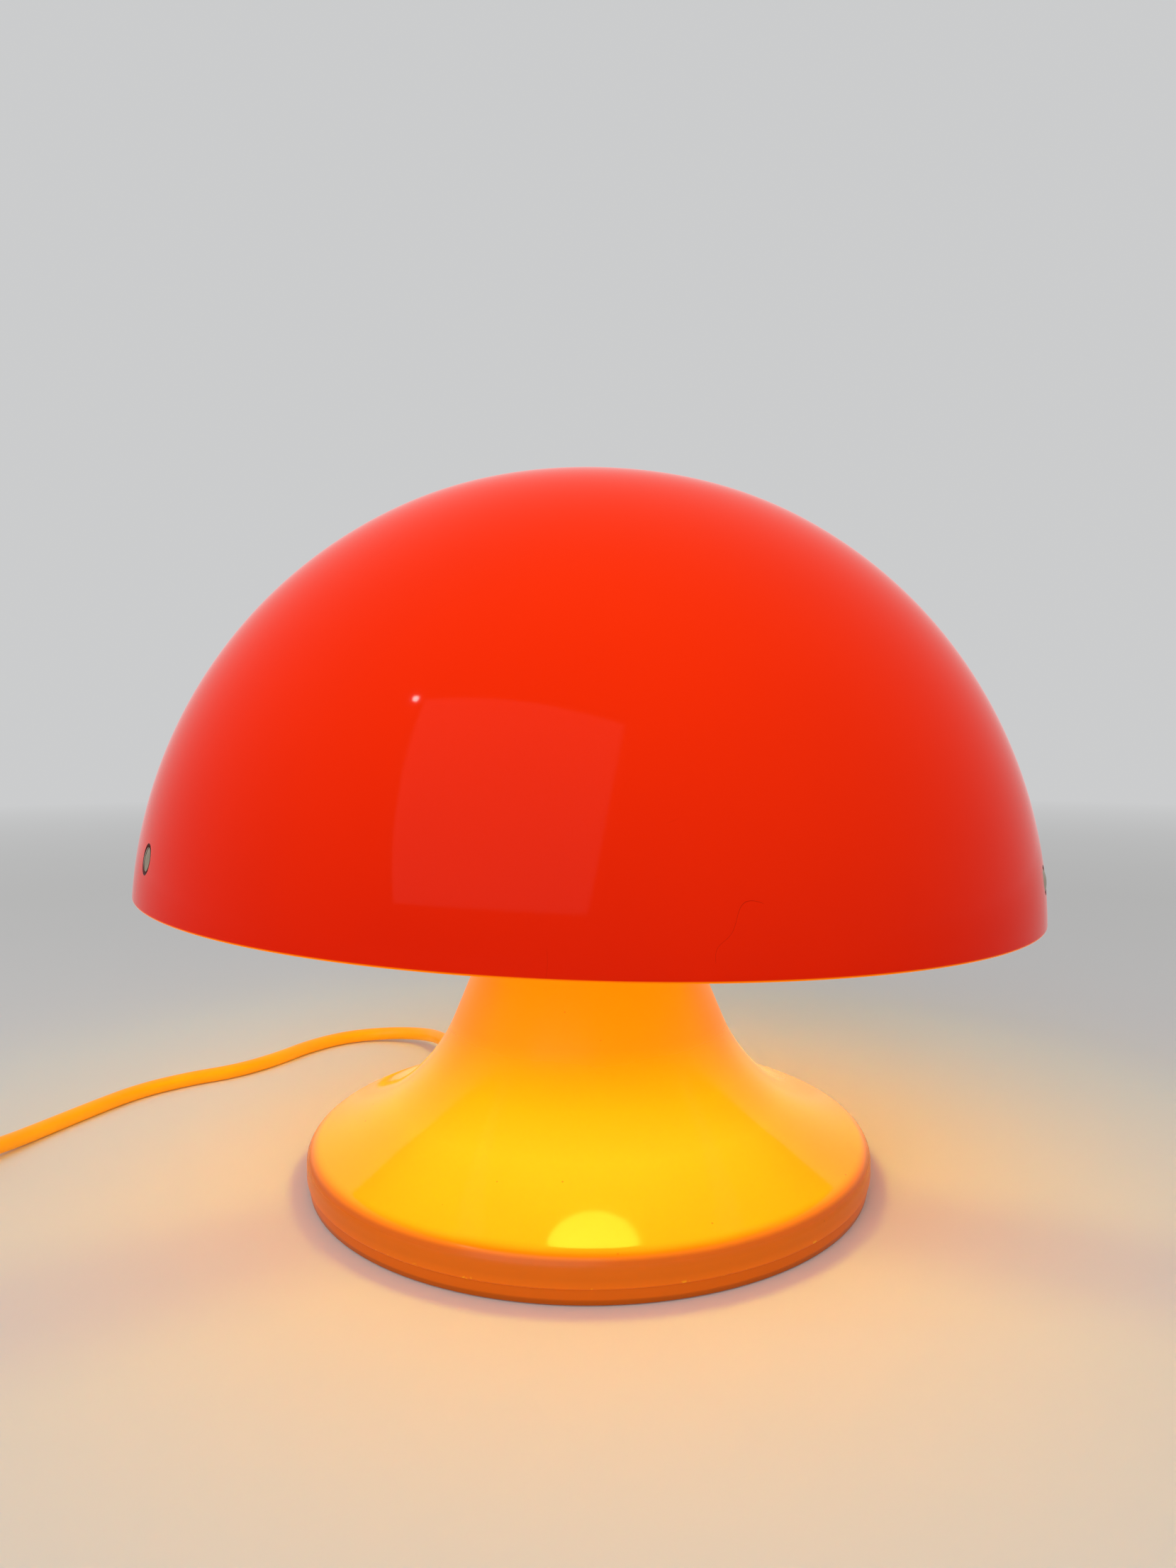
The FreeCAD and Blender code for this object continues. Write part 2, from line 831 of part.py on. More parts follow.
def trumpet(inset, bottom, top):
    """Solid inside the base's outer surface, offset inwards by inset.

    The outline has a corner at the crease, at the hip between flare and sweep, and at the knee
    between sweep and neck, each rounded. The knee's rounding starts past the end of the hip's.
    """
    slope = math.radians(flare_slope_deg)
    sweep = math.radians(sweep_slope_deg)
    taper = math.radians(neck_taper_deg)
    edge = base_radius - inset
    turn = crease_radius - inset
    crease_end = point(
        base_radius - crease_radius + turn * math.sin(slope),
        band_top + turn * math.cos(slope),
    )
    crease = point(edge, crease_end.z - (edge - crease_end.x) * math.tan(slope))
    hip_run = (flare_radius + inset) * math.tan((sweep - slope) / 2)
    reach = flare_straight + hip_run
    hip = point(crease_end.x - reach * math.cos(slope), crease_end.z + reach * math.sin(slope))
    neck = neck_radius - inset / math.cos(taper)
    rise = hip.z + hip.x * math.tan(sweep) - seat_height
    knee_r = (neck - rise * math.tan(taper)) / (1 - math.tan(taper) * math.tan(sweep))
    knee_z = hip.z + (hip.x - knee_r) * math.tan(sweep)
    top_r = neck - (top - seat_height) * math.tan(taper)
    knee_run = math.hypot(hip.x - knee_r, knee_z - hip.z) - hip_run
    widest = knee_run / math.tan((math.pi / 2 - taper - sweep) / 2)
    corners = [
        point(0, bottom),
        point(edge, bottom),
        crease,
        hip,
        point(knee_r, knee_z),
        point(top_r, top),
        point(0, top),
    ]
    knee_turn = min(sweep_radius + inset, widest)
    wire = outline(corners, [0, 0, turn, flare_radius + inset, knee_turn, 0, 0])
    return Part.Face(wire).revolve(origin, up, 360)


def along_exit(shape):
    """Places a shape spun about Z along the lead's way out of the base."""
    copy = onto_x(shape)
    copy.rotate(origin, up, exit_deg)
    copy.translate(up * exit_height)
    return copy


boss_place = base_radius - boss_inset
pad_place = base_radius - pad_inset
clamp_place = base_radius - clamp_inset
gland_bore = flex_radius + flex_gap
gland_neck_radius = gland_bore + gland_wall
gland_hole_radius = gland_neck_radius + gland_play
gland_flange_radius = gland_neck_radius + gland_flange_rim
gland_tip = base_radius + gland_length


def make_base_shell():
    outside = trumpet(0, lip_height, seat_height + 20).common(below_seat(0))
    rim = [
        edge for edge in outside.Edges
        if edge.BoundBox.ZMin > seat_height - 4 and edge.BoundBox.XLength > neck_radius
    ]
    outside = outside.makeFillet(neck_edge_radius, rim)
    lip = [
        edge for edge in outside.Edges
        if edge.BoundBox.ZMax < lip_height + 0.01 and edge.BoundBox.XLength > base_radius
    ]
    outside = outside.makeChamfer(lip_chamfer, lip)
    hollow = trumpet(base_wall, lip_height - 1, seat_height + 20).common(below_seat(base_wall))
    shell = outside.cut(hollow)
    for place in boss_places():
        boss = Part.makeCylinder(boss_radius, seat_height, place + up * floor_top)
        boss = boss.common(outside)
        drill_length = tray_screw_length + 2.0
        drill_start = place + up * (floor_top - 1)
        drill = Part.makeCylinder(tray_screw_radius + thread_gap, drill_length, drill_start)
        shell = shell.fuse(boss).cut(drill)
    hole = along_exit(disc(gland_hole_radius, base_radius - cut_margin, 2 * cut_margin))
    notch_middle = Vector(base_radius, 0, exit_height / 2)
    notch = block(2 * cut_margin, 2 * gland_hole_radius, exit_height, notch_middle)
    notch.rotate(origin, up, exit_deg)
    recess_start = gland_flange_out() - gland_flange_thickness - gland_play
    recess_length = gland_flange_thickness + 2 * gland_play
    recess = along_exit(disc(gland_flange_radius + gland_play, recess_start, recess_length))
    nipple_hole = leaned(disc(nipple_radius + hole_gap, seat_height - 20, 40))
    return shell.cut(hole).cut(notch).cut(recess).cut(nipple_hole).removeSplitter()


# Tray, pads, screws, ballast

floor_top = tray_bottom + tray_floor
spigot_outer = base_radius - base_wall - spigot_gap
spigot_inner = spigot_outer - spigot_thickness
tray_ring_radius = base_radius - tray_ring_step
tray_foot_radius = tray_ring_radius - tray_bevel_width


def boss_places():
    return [
        turned_from_x(boss_place, boss_deg + 360.0 * i / boss_count) for i in range(boss_count)
    ]


def pad_places():
    return [
        turned_from_x(pad_place, pad_deg + 360.0 * i / pad_count) for i in range(pad_count)
    ]


def countersunk(radius, head, length, bottom):
    """Screw that points up, with its flat head's face at the bottom."""
    screw = spun([
        (0, bottom),
        (head, bottom),
        (radius, bottom + head - radius),
        (radius, bottom + length - 1.0),
        (radius * 0.4, bottom + length),
        (0, bottom + length),
    ])
    return screw.cut(slot(0.8, 0.8, head + 1, bottom))


def countersink(radius, head, length, bottom):
    return spun([
        (0, bottom - 1.0),
        (head + 1.0 + thread_gap, bottom - 1.0),
        (radius + thread_gap, bottom + head - radius),
        (radius + thread_gap, bottom + length),
        (0, bottom + length),
    ])


def clamp_posts():
    side = turned_from_x(clamp_post_apart, exit_deg + 90)
    middle = turned_from_x(clamp_place, exit_deg)
    return [middle + side, middle - side]


clamp_seat = exit_height + clamp_bite
saddle_top = exit_height - clamp_bite


def clamp_bore():
    return along_exit(disc(gland_bore, clamp_place - cut_margin, 2 * cut_margin))


def make_tray():
    tray = spun([
        (0, tray_bottom),
        (tray_foot_radius, tray_bottom),
        (tray_ring_radius, tray_bottom + tray_bevel_height),
        (tray_ring_radius, lip_height),
        (spigot_outer, lip_height),
        (spigot_outer, spigot_top),
        (spigot_inner, spigot_top),
        (spigot_inner, floor_top),
        (0, floor_top),
    ], [0, tray_foot_rounding, 0.6, 0, 0, 0.6, 0.6, 1.0, 0])
    root = tray_bottom + tray_floor / 3
    for place in clamp_posts():
        post = Part.makeCylinder(clamp_post_radius, clamp_seat - root, place + up * root)
        tray = tray.fuse(post)
    saddle_middle = Vector(clamp_place, 0, (saddle_top + root) / 2)
    saddle = block(clamp_width, 2 * clamp_post_apart, saddle_top - root, saddle_middle)
    saddle.rotate(origin, up, exit_deg)
    tray = tray.fuse(saddle).cut(clamp_bore())
    for place in clamp_posts():
        drill_start = place + up * (floor_top + 0.5)
        hole = Part.makeCylinder(clamp_screw_radius + thread_gap, clamp_seat, drill_start)
        tray = tray.cut(hole)
    sink = countersink(tray_screw_radius, tray_screw_head_radius, 20, tray_bottom)
    for place in boss_places():
        copy = sink.copy()
        copy.translate(place)
        tray = tray.cut(copy)
    for place in pad_places():
        tray = tray.cut(Part.makeCylinder(pad_radius + hole_gap, tray_bottom + pad_sunk, place))
    for place in ballast_screw_places():
        depth = ballast_screw_depth
        hole = Part.makeCylinder(ballast_screw_radius + thread_gap, depth, place + up * (floor_top - depth))
        tray = tray.cut(hole)
    notch_middle = Vector(spigot_inner, 0, floor_top + spigot_top / 2)
    notch = block(8 * spigot_thickness, 2 * gland_hole_radius, spigot_top, notch_middle)
    notch.rotate(origin, up, exit_deg)
    hole = along_exit(disc(gland_hole_radius, spigot_inner - 2 * spigot_thickness, 2 * cut_margin))
    return tray.cut(notch).cut(hole).removeSplitter()


def make_tray_screws():
    screw = countersunk(tray_screw_radius, tray_screw_head_radius, tray_screw_length, tray_bottom)
    screws = []
    for place in boss_places():
        copy = screw.copy()
        copy.translate(place)
        screws.append(copy)
    return Part.makeCompound(screws)


def make_pads():
    thickness = tray_bottom + pad_sunk
    return Part.makeCompound([disc(pad_radius, 0, thickness, 0, place) for place in pad_places()])


def ballast_screw_places():
    return [turned_from_x(ballast_screw_place, ballast_screw_deg + 120 * i) for i in range(3)]


def make_ballast():
    ballast = spun([
        (ballast_bore, floor_top),
        (ballast_radius, floor_top),
        (ballast_radius, floor_top + ballast_thickness),
        (ballast_bore, floor_top + ballast_thickness),
    ], [0, 0, 1.5, 1.0])
    for place in ballast_screw_places():
        hole = Part.makeCylinder(ballast_screw_radius + hole_gap, 20, place)
        ballast = ballast.cut(hole)
    return ballast


def make_ballast_screws():
    top = floor_top + ballast_thickness
    screw = spun([
        (0, floor_top - ballast_screw_depth),
        (ballast_screw_radius, floor_top - ballast_screw_depth),
        (ballast_screw_radius, top),
        (ballast_screw_head, top),
        (ballast_screw_head, top + ballast_screw_head_height),
        (0, top + ballast_screw_head_height),
    ], [0, 0.4, 0, 0, 0.9, 0])
    screw = screw.cut(slot(0.9, 1.0, ballast_screw_head + 1, top + ballast_screw_head_height))
    screws = []
    for place in ballast_screw_places():
        copy = screw.copy()
        copy.translate(place)
        screws.append(copy)
    return Part.makeCompound(screws)


# Gland, clamp, wires inside

def gland_flange_out():
    """Outer face of the gland's flange, just inside the tray's ring."""
    return math.sqrt((spigot_inner - gland_play) ** 2 - gland_flange_radius ** 2)


def make_gland():
    """Bush with an inner flange behind the tray's ring, an outer collar and a tapered boot."""
    flange = gland_flange_radius
    flange_out = gland_flange_out()
    collar = gland_neck_radius + gland_collar_rim
    collar_in = base_radius + gland_play
    collar_out = collar_in + gland_collar_thickness
    return along_exit(spun([
        (gland_bore, flange_out - gland_flange_thickness),
        (flange, flange_out - gland_flange_thickness),
        (flange, flange_out),
        (gland_neck_radius, flange_out),
        (gland_neck_radius, collar_in),
        (collar, collar_in),
        (collar, collar_out),
        (gland_neck_radius + 0.6, collar_out + 1.0),
        (gland_bore + gland_tip_wall, gland_tip),
        (gland_bore, gland_tip),
    ], [0, 0.3, 0, 0, 0, 0.4, 0.8, 0.8, 0.3, 0]))


def make_clamp():
    middle = Vector(clamp_place, 0, clamp_seat + clamp_thickness / 2)
    bar = block(clamp_width, clamp_length, clamp_thickness, middle)
    upright = [edge for edge in bar.Edges if edge.BoundBox.ZLength > clamp_thickness / 2]
    bar = bar.makeFillet(1.5, upright)
    bar.rotate(origin, up, exit_deg)
    bar = bar.cut(clamp_bore())
    for place in clamp_posts():
        bar = bar.cut(Part.makeCylinder(clamp_screw_radius + thread_gap, 40, place))
    return bar


def make_clamp_screws():
    top = clamp_seat + clamp_thickness
    screw = spun([
        (0, top - clamp_screw_length),
        (clamp_screw_radius, top - clamp_screw_length),
        (clamp_screw_radius, top),
        (clamp_screw_head, top),
        (clamp_screw_head, top + clamp_screw_head_height),
        (0, top + clamp_screw_head_height),
    ], [0, 0.3, 0, 0, 0.8, 0])
    screw = screw.cut(slot(0.7, 0.8, clamp_screw_head + 1, top + clamp_screw_head_height))
    screws = []
    for place in clamp_posts():
        copy = screw.copy()
        copy.translate(place)
        screws.append(copy)
    return Part.makeCompound(screws)


def leaned_point(place):
    return leaned(Part.Vertex(place)).Point


def exit_point(distance, height=exit_height):
    return turned_from_x(distance, exit_deg, height)


def make_inner_flex():
    over_ballast = floor_top + ballast_thickness + flex_radius
    route = [
        exit_point(gland_tip),
        exit_point(clamp_place - 13),
        exit_point(ballast_radius - 7, over_ballast + 5),
        exit_point(ballast_radius - 29, over_ballast + 9),
        exit_point(5, over_ballast + 17),
        leaned_point(Vector(0, 0, sheath_end - 15)),
        leaned_point(Vector(0, 0, sheath_end)),
    ]
    return tube(route, flex_radius, "inner_flex")


def make_core(side, label):
    level = terminal_bottom + terminal_size / 2
    inner_face = terminal_place - terminal_size / 2
    route = [
        Vector(side * core_apart, 0, sheath_end),
        Vector(side * core_apart, 0, level),
        Vector(side * inner_face, 0, level),
    ]
    return leaned(tube(route, core_radius, label))


# Free stretches of the lead

switch_half = switch_length / 2 + switch_boot_length
plug_axis = plug_height / 2
plug_tip = Vector(plug_x, plug_y, plug_axis)


def switch_end(side, beyond=0.0):
    """Point on the lead's line past one end of the switch: side 1 is towards the coil."""
    middle = Vector(switch_x, switch_y, switch_axis)
    return middle + turned_from_x(side * (switch_half + beyond), switch_deg)


coil_centre = Vector(coil_x, coil_y, 0)
coil_low = tie_thickness + tie_gap + flex_radius
coil_high = coil_low + coil_pitch


def coil_point(turn):
    """Centre line of the coil: in from the outside, up a layer at turn 0, out again."""
    radius = coil_inner + coil_pitch * abs(turn)
    share = min(max(turn / 0.25, -1), 1)
    climb = 0.5 + 0.5 * math.sin(math.pi / 2 * share)
    degrees = coil_start_deg - 360 * (turn + turns_in)
    return coil_centre + turned_from_x(radius, degrees, coil_low + coil_pitch * climb)


def coil_way(turn):
    step = 0.001
    return (coil_point(turn + step) - coil_point(turn - step)).normalize()


def before_coil(distance):
    return coil_point(-turns_in) - coil_way(-turns_in) * distance


def past_coil(distance):
    return coil_point(turns_out) + coil_way(turns_out) * distance


coil_stub = 2 * flex_radius


def make_coil():
    knots = [-turns_in + 0.25 * i for i in range(int(4 * (turns_in + turns_out)) + 1)]
    edges = [Part.LineSegment(before_coil(coil_stub), coil_point(knots[0])).toShape()]
    for first, last in zip(knots, knots[1:]):
        edges += biarc(coil_point(first), coil_way(first), coil_point(last), coil_way(last))
    edges.append(Part.LineSegment(coil_point(knots[-1]), past_coil(coil_stub)).toShape())
    line = [place for edge in edges for place in edge.discretize(Distance=2.0)[:-1]]
    skip = int(6 * flex_radius)
    least = min(
        (a - b).Length for i, a in enumerate(line[::2]) for b in line[2 * i + skip::1]
    )
    print(f"flex_coil: least gap to itself {least - 2 * flex_radius:.2f} mm")
    return piped(edges, flex_radius, "flex_coil")


def make_tie():
    """Band round the bundle of turns."""
    share = ((coil_start_deg - tie_deg) / 360.0) % 1.0
    innermost = min(share, 1 - share)
    outermost = max(turns_in - share, math.floor(turns_out - share) + share)
    low_r = coil_inner + coil_pitch * innermost - flex_radius - tie_side_gap
    high_r = coil_inner + coil_pitch * outermost + flex_radius + tie_side_gap
    low_z = tie_thickness
    high_z = coil_high + flex_radius + tie_gap
    wall = tie_thickness
    inside = [point(low_r, low_z), point(high_r, low_z), point(high_r, high_z), point(low_r, high_z)]
    outside = [
        point(low_r - wall, low_z - wall),
        point(high_r + wall, low_z - wall),
        point(high_r + wall, high_z + wall),
        point(low_r - wall, high_z + wall),
    ]
    hollow = Part.Face(outline(inside, [0.4, 0.4, 1.8, 1.8]))
    band = Part.Face(outline(outside, [0.8, 0.8, 2.5, 2.5])).cut(hollow)
    solid = band.extrude(Vector(0, tie_width, 0))
    solid.translate(Vector(0, -tie_width / 2, 0))
    solid.rotate(origin, up, tie_deg)
    solid.translate(coil_centre)
    return solid


def make_lead():
    route = [exit_point(gland_tip), exit_point(gland_tip + straight_end)]
    route += lead_route + [switch_end(-1, straight_end), switch_end(-1)]
    return tube(route, flex_radius, "flex_lead")


def make_tail():
    route = [switch_end(1), switch_end(1, straight_end)] + tail_route
    route += [before_coil(coil_stub + straight_end), before_coil(coil_stub)]
    return tube(route, flex_radius, "flex_tail")


def make_end():
    route = [
        past_coil(coil_stub),
        past_coil(coil_stub + straight_at_plug),
        plug_tip - turned_from_x(straight_at_plug, plug_deg),
        plug_tip,
    ]
    return tube(route, flex_radius, "flex_end")


# Switch, built round its own middle with its bottom on Z = 0

def at_switch(shape):
    copy = shape.copy()
    copy.rotate(origin, up, switch_deg)
    copy.translate(Vector(switch_x, switch_y, 0))
    return copy


def rounded_block(length, width, height, corner, edge):
    solid = block(length, width, height, up * (height / 2))
    upright = [e for e in solid.Edges if e.BoundBox.ZLength > height / 2]
    solid = solid.makeFillet(corner, upright)
    level = [e for e in solid.Edges if e.BoundBox.ZLength < 0.01]
    return solid.makeFillet(edge, level)


def switch_halves():
    shell = rounded_block(switch_length, switch_width, switch_height, switch_corner, switch_edge)
    inside = rounded_block(
        switch_length - 2 * switch_wall,
        switch_width - 2 * switch_wall,
        switch_height - 2 * switch_wall,
        switch_corner - switch_wall,
        0.5,
    )
    inside.translate(up * switch_wall)
    boot = spun([
        (0, switch_length / 2 - switch_wall / 2),
        (switch_boot_radius, switch_length / 2 - switch_wall / 2),
        (switch_boot_tip, switch_length / 2 + switch_boot_length),
        (0, switch_length / 2 + switch_boot_length),
    ], [0, 0, 0.8, 0])
    bore = Part.makeCylinder(flex_radius + flex_gap, 2 * switch_length, up * -switch_length)
    shell = shell.cut(inside)
    for turn in (90, -90):
        copy = boot.copy()
        copy.rotate(origin, Vector(0, 1, 0), turn)
        copy.translate(up * switch_axis)
        shell = shell.fuse(copy)
    for sx, sy in ((1, 1), (-1, -1)):
        place = Vector(sx * switch_screw_x, sy * switch_screw_y, 0.5)
        shell = shell.fuse(Part.makeCylinder(switch_boss_radius, switch_height - 1.5, place))
    bore.rotate(origin, Vector(0, 1, 0), 90)
    bore.translate(up * switch_axis)
    shell = shell.cut(bore)
    size = 4 * switch_length
    low_half = Part.makeBox(size, size, size, Vector(-size / 2, -size / 2, switch_axis - size))
    return shell.common(low_half), shell.cut(low_half)


def switch_screw_holes():
    hole = countersink(switch_screw_radius, switch_screw_head, switch_height - 3.0, 0.3)
    holes = []
    for side in (1, -1):
        copy = hole.copy()
        copy.translate(Vector(side * switch_screw_x, side * switch_screw_y, 0))
        holes.append(copy)
    return holes


def make_switch_lower():
    lower = switch_halves()[0]
    for hole in switch_screw_holes():
        lower = lower.cut(hole)
    for side in (-1, 1):
        stand_height = contact_top - contact_thickness - switch_wall - 1.0
        stand = block(4, 6, stand_height, Vector(side * 7.5, 0, switch_wall + stand_height / 2))
        lower = lower.fuse(stand)
    return at_switch(lower.removeSplitter())


def make_switch_upper():
    upper = switch_halves()[1]
    for hole in switch_screw_holes():
        upper = upper.cut(hole)
    window = block(
        rocker_length + 2 * rocker_gap + 0.4,
        rocker_width + 2 * rocker_gap,
        switch_height,
        up * switch_height,
    )
    upper = upper.cut(window)
    cheek_y = rocker_width / 2 + rocker_gap + cheek_thickness / 2
    bottom = pivot_height - cheek_depth / 2
    for side in (-1, 1):
        height = switch_height - switch_wall / 2 - bottom
        cheek = block(6, cheek_thickness, height, Vector(0, side * cheek_y, bottom + height / 2))
        upper = upper.fuse(cheek)
    hole = Part.makeCylinder(pivot_radius + thread_gap, switch_width - 2 * switch_wall,
                             Vector(0, switch_wall - switch_width / 2, pivot_height), Vector(0, 1, 0))
    return at_switch(upper.cut(hole).removeSplitter())


def make_rocker():
    half = rocker_length / 2
    face = Part.Face(outline([
        point(-half, rocker_top),
        point(-half * 0.8, -2.0),
        point(0, -3.4),
        point(half * 0.8, -2.0),
        point(half, rocker_top),
        point(0, rocker_dip),
    ], [0.6, 1.0, 3.0, 1.0, 0.6, 12.0]))
    rocker = face.extrude(Vector(0, rocker_width, 0))
    rocker.translate(Vector(0, -rocker_width / 2, 0))
    bore = Part.makeCylinder(pivot_radius + thread_gap, 2 * rocker_width,
                             Vector(0, -rocker_width, 0), Vector(0, 1, 0))
    rocker = rocker.cut(bore)
    rocker.rotate(origin, Vector(0, 1, 0), -rocker_tilt_deg)
    rocker.translate(up * pivot_height)
    return at_switch(rocker)


def make_pivot():
    length = rocker_width + 2 * rocker_gap + 2 * cheek_thickness
    return at_switch(Part.makeCylinder(
        pivot_radius, length, Vector(0, -length / 2, pivot_height), Vector(0, 1, 0)
    ))


def make_switch_contacts():
    strips = []
    for side in (-1, 1):
        level = contact_top - contact_thickness / 2 - 1.0
        strip = block(12, 5, contact_thickness, Vector(side * 10.5, 0, level))
        pip = Part.makeCylinder(1.2, 1.0, Vector(side * 6.5, 0, contact_top - 1.0))
        strips.append(strip.fuse(pip).removeSplitter())
    return at_switch(Part.makeCompound(strips))


def make_switch_screws():
    screw = countersunk(switch_screw_radius, switch_screw_head, switch_height - 4.0, 0.3)
    screws = []
    for side in (1, -1):
        copy = screw.copy()
        copy.translate(Vector(side * switch_screw_x, side * switch_screw_y, 0))
        screws.append(copy)
    return at_switch(Part.makeCompound(screws))


def make_switch_flex():
    """Ends of the lead inside the switch."""
    reach = switch_half - switch_flex_stop
    ends = []
    for side in (-1, 1):
        start = Vector(side * switch_flex_stop, 0, switch_axis)
        ends.append(Part.makeCylinder(flex_radius, reach, start, Vector(side, 0, 0)))
    return at_switch(Part.makeCompound(ends))


# Plug, built with its back at X = 0 and its pins along +X

def at_plug(shape):
    copy = shape.copy()
    copy.translate(Vector(plug_boot_length, 0, 0))
    copy.rotate(origin, up, plug_deg)
    copy.translate(plug_tip)
    return copy


def pin_places():
    return [Vector(0, side * pin_apart / 2, 0) for side in (-1, 1)]


def make_plug_body():
    half = plug_width / 2
    plan = [
        Vector(0, -plug_back_width / 2, 0),
        Vector(plug_shoulder, -half + 0.6, 0),
        Vector(plug_length, -half, 0),
        Vector(plug_length, half, 0),
        Vector(plug_shoulder, half - 0.6, 0),
        Vector(0, plug_back_width / 2, 0),
    ]
    face = Part.Face(outline(plan, [2.0, 9.0, 4.0, 4.0, 9.0, 2.0]))
    body = face.extrude(up * plug_height)
    body.translate(up * -plug_height / 2)
    level = [e for e in body.Edges if e.BoundBox.ZLength < 0.01]
    body = body.makeFillet(plug_edge, level)
    for place in pin_places():
        start = place + Vector(plug_length - 0.5, 0, 0)
        sleeve = Part.makeCylinder(pin_radius, pin_sleeve, start, Vector(1, 0, 0))
        body = body.fuse(sleeve)
    body = body.cut(Part.makeCylinder(gland_bore, plug_flex_depth, origin, Vector(1, 0, 0)))
    for place in pin_places():
        inside = Part.makeCylinder(
            pin_core_radius + thread_gap,
            pin_in_plug + pin_length,
            place + Vector(plug_length - pin_in_plug, 0, 0),
            Vector(1, 0, 0),
        )
        body = body.cut(inside)
    return at_plug(body.removeSplitter())


def make_plug_pins():
    pins = []
    for place in pin_places():
        tip = plug_length + pin_length
        bare = plug_length - 0.5 + pin_sleeve
        pin = onto_x(spun([
            (0, plug_length - pin_in_plug),
            (pin_core_radius, plug_length - pin_in_plug),
            (pin_core_radius, bare),
            (pin_radius, bare),
            (pin_radius, tip),
            (0, tip),
        ], [0, 0, 0, 0, 1.2, 0]))
        pin.translate(place)
        pins.append(pin)
    return at_plug(Part.makeCompound(pins))


def make_plug_boot():
    boot = spun([
        (gland_bore, -plug_boot_length),
        (plug_boot_tip, -plug_boot_length),
        (plug_boot_radius, 0),
        (gland_bore, 0),
    ], [0, 0.3, 0, 0])
    return at_plug(onto_x(boot))


def make_plug_flex():
    """End of the lead inside the boot and the plug."""
    return at_plug(onto_x(disc(flex_radius, -plug_boot_length, plug_boot_length + plug_flex_depth)))


def make_all():
    arms = make_arms()
    parts = {
        "shade_dome": make_dome(),
        "shade_screws": make_shade_screws(),
        "shade_washers": make_shade_washers(),
        "shade_nuts": make_shade_nuts(),
        "carrier_hub": make_hub(),
        "arm_rivets": make_rivets(),
        "nipple": make_nipple(),
        "nipple_washers": make_nipple_washers(),
        "nipple_nuts": make_nipple_nuts(),
        "holder_cap": make_holder_cap(),
        "holder_body": make_holder_body(),
        "holder_insulator": make_insulator(),
        "holder_sleeve": make_sleeve(),
        "holder_contact": make_contact(),
        "holder_terminals": make_terminals(),
        "bulb_glass": make_bulb_glass(),
        "bulb_cap": make_bulb_cap(),
        "bulb_insulator": make_bulb_insulator(),
        "bulb_tip": make_bulb_tip(),
        "base_shell": make_base_shell(),
        "base_tray": make_tray(),
        "tray_screws": make_tray_screws(),
        "foot_pads": make_pads(),
        "ballast": make_ballast(),
        "ballast_screws": make_ballast_screws(),
        "cord_gland": make_gland(),
        "cord_clamp": make_clamp(),
        "clamp_screws": make_clamp_screws(),
        "inner_flex": make_inner_flex(),
        "core_live": make_core(1, "core_live"),
        "core_neutral": make_core(-1, "core_neutral"),
        "flex_lead": make_lead(),
        "flex_tail": make_tail(),
        "flex_coil": make_coil(),
        "flex_end": make_end(),
        "coil_tie": make_tie(),
        "switch_lower": make_switch_lower(),
        "switch_upper": make_switch_upper(),
        "switch_rocker": make_rocker(),
        "switch_pivot": make_pivot(),
        "switch_contacts": make_switch_contacts(),
        "switch_screws": make_switch_screws(),
        "switch_flex": make_switch_flex(),
        "plug_body": make_plug_body(),
        "plug_pins": make_plug_pins(),
        "plug_boot": make_plug_boot(),
        "plug_flex": make_plug_flex(),
    }
    for number, arm in enumerate(arms, 1):
        parts[f"carrier_arm_{number}"] = arm
    return parts


os.makedirs("parts", exist_ok=True)
for name, shape in make_all().items():
    shape.exportStep(f"parts/{name}.step")
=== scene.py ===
"""Mushroom table lamp: opal acrylic dome, trumpet base, opal bulb, and a lead with a rocker switch.

Everything is in metres and in the frame's own axes. The dome and all that stands above the neck lean
to +X together, about the middle of the seat on top of the base.
"""

import math

import bmesh
import bpy
import numpy as np
from bpy.props import FloatProperty, FloatVectorProperty, IntProperty, PointerProperty
from mathutils import Euler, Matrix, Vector


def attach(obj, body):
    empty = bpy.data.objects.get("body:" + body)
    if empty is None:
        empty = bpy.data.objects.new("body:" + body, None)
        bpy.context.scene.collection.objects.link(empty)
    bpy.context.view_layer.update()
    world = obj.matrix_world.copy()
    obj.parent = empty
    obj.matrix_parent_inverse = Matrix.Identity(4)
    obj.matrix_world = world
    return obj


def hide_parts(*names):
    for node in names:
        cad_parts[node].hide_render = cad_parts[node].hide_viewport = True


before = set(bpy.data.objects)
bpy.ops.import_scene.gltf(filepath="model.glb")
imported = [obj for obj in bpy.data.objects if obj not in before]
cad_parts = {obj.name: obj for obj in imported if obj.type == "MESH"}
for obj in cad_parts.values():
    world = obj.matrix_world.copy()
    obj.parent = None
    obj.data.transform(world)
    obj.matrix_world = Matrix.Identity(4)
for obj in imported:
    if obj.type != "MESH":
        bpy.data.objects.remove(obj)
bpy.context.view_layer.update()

bl_info = {
    "name": "Mushroom table lamp",
    "version": (1, 0, 0),
    "blender": (4, 5, 0),
    "location": "View3D > Sidebar > Lamp",
    "description": "Builds a dome-shaded table lamp around its construction model",
    "category": "Add Mesh",
}

TURN = 2 * math.pi


# Settings

def length(name, description, default):
    """Property of a length in metres."""
    return FloatProperty(name=name, description=description, default=default,
                         unit="LENGTH", precision=5)


def angle(name, description, degrees):
    """Property of an angle, kept in radians."""
    return FloatProperty(name=name, description=description, default=math.radians(degrees),
                         unit="ROTATION")


def share(name, description, default):
    """Property of a share, 1 for all."""
    return FloatProperty(name=name, description=description, default=default, subtype="FACTOR")


def colour(name, description, default):
    """Property of a colour, red, green and blue in linear light."""
    return FloatVectorProperty(name=name, description=description, default=default,
                               subtype="COLOR", size=3, min=0.0, max=1.0)


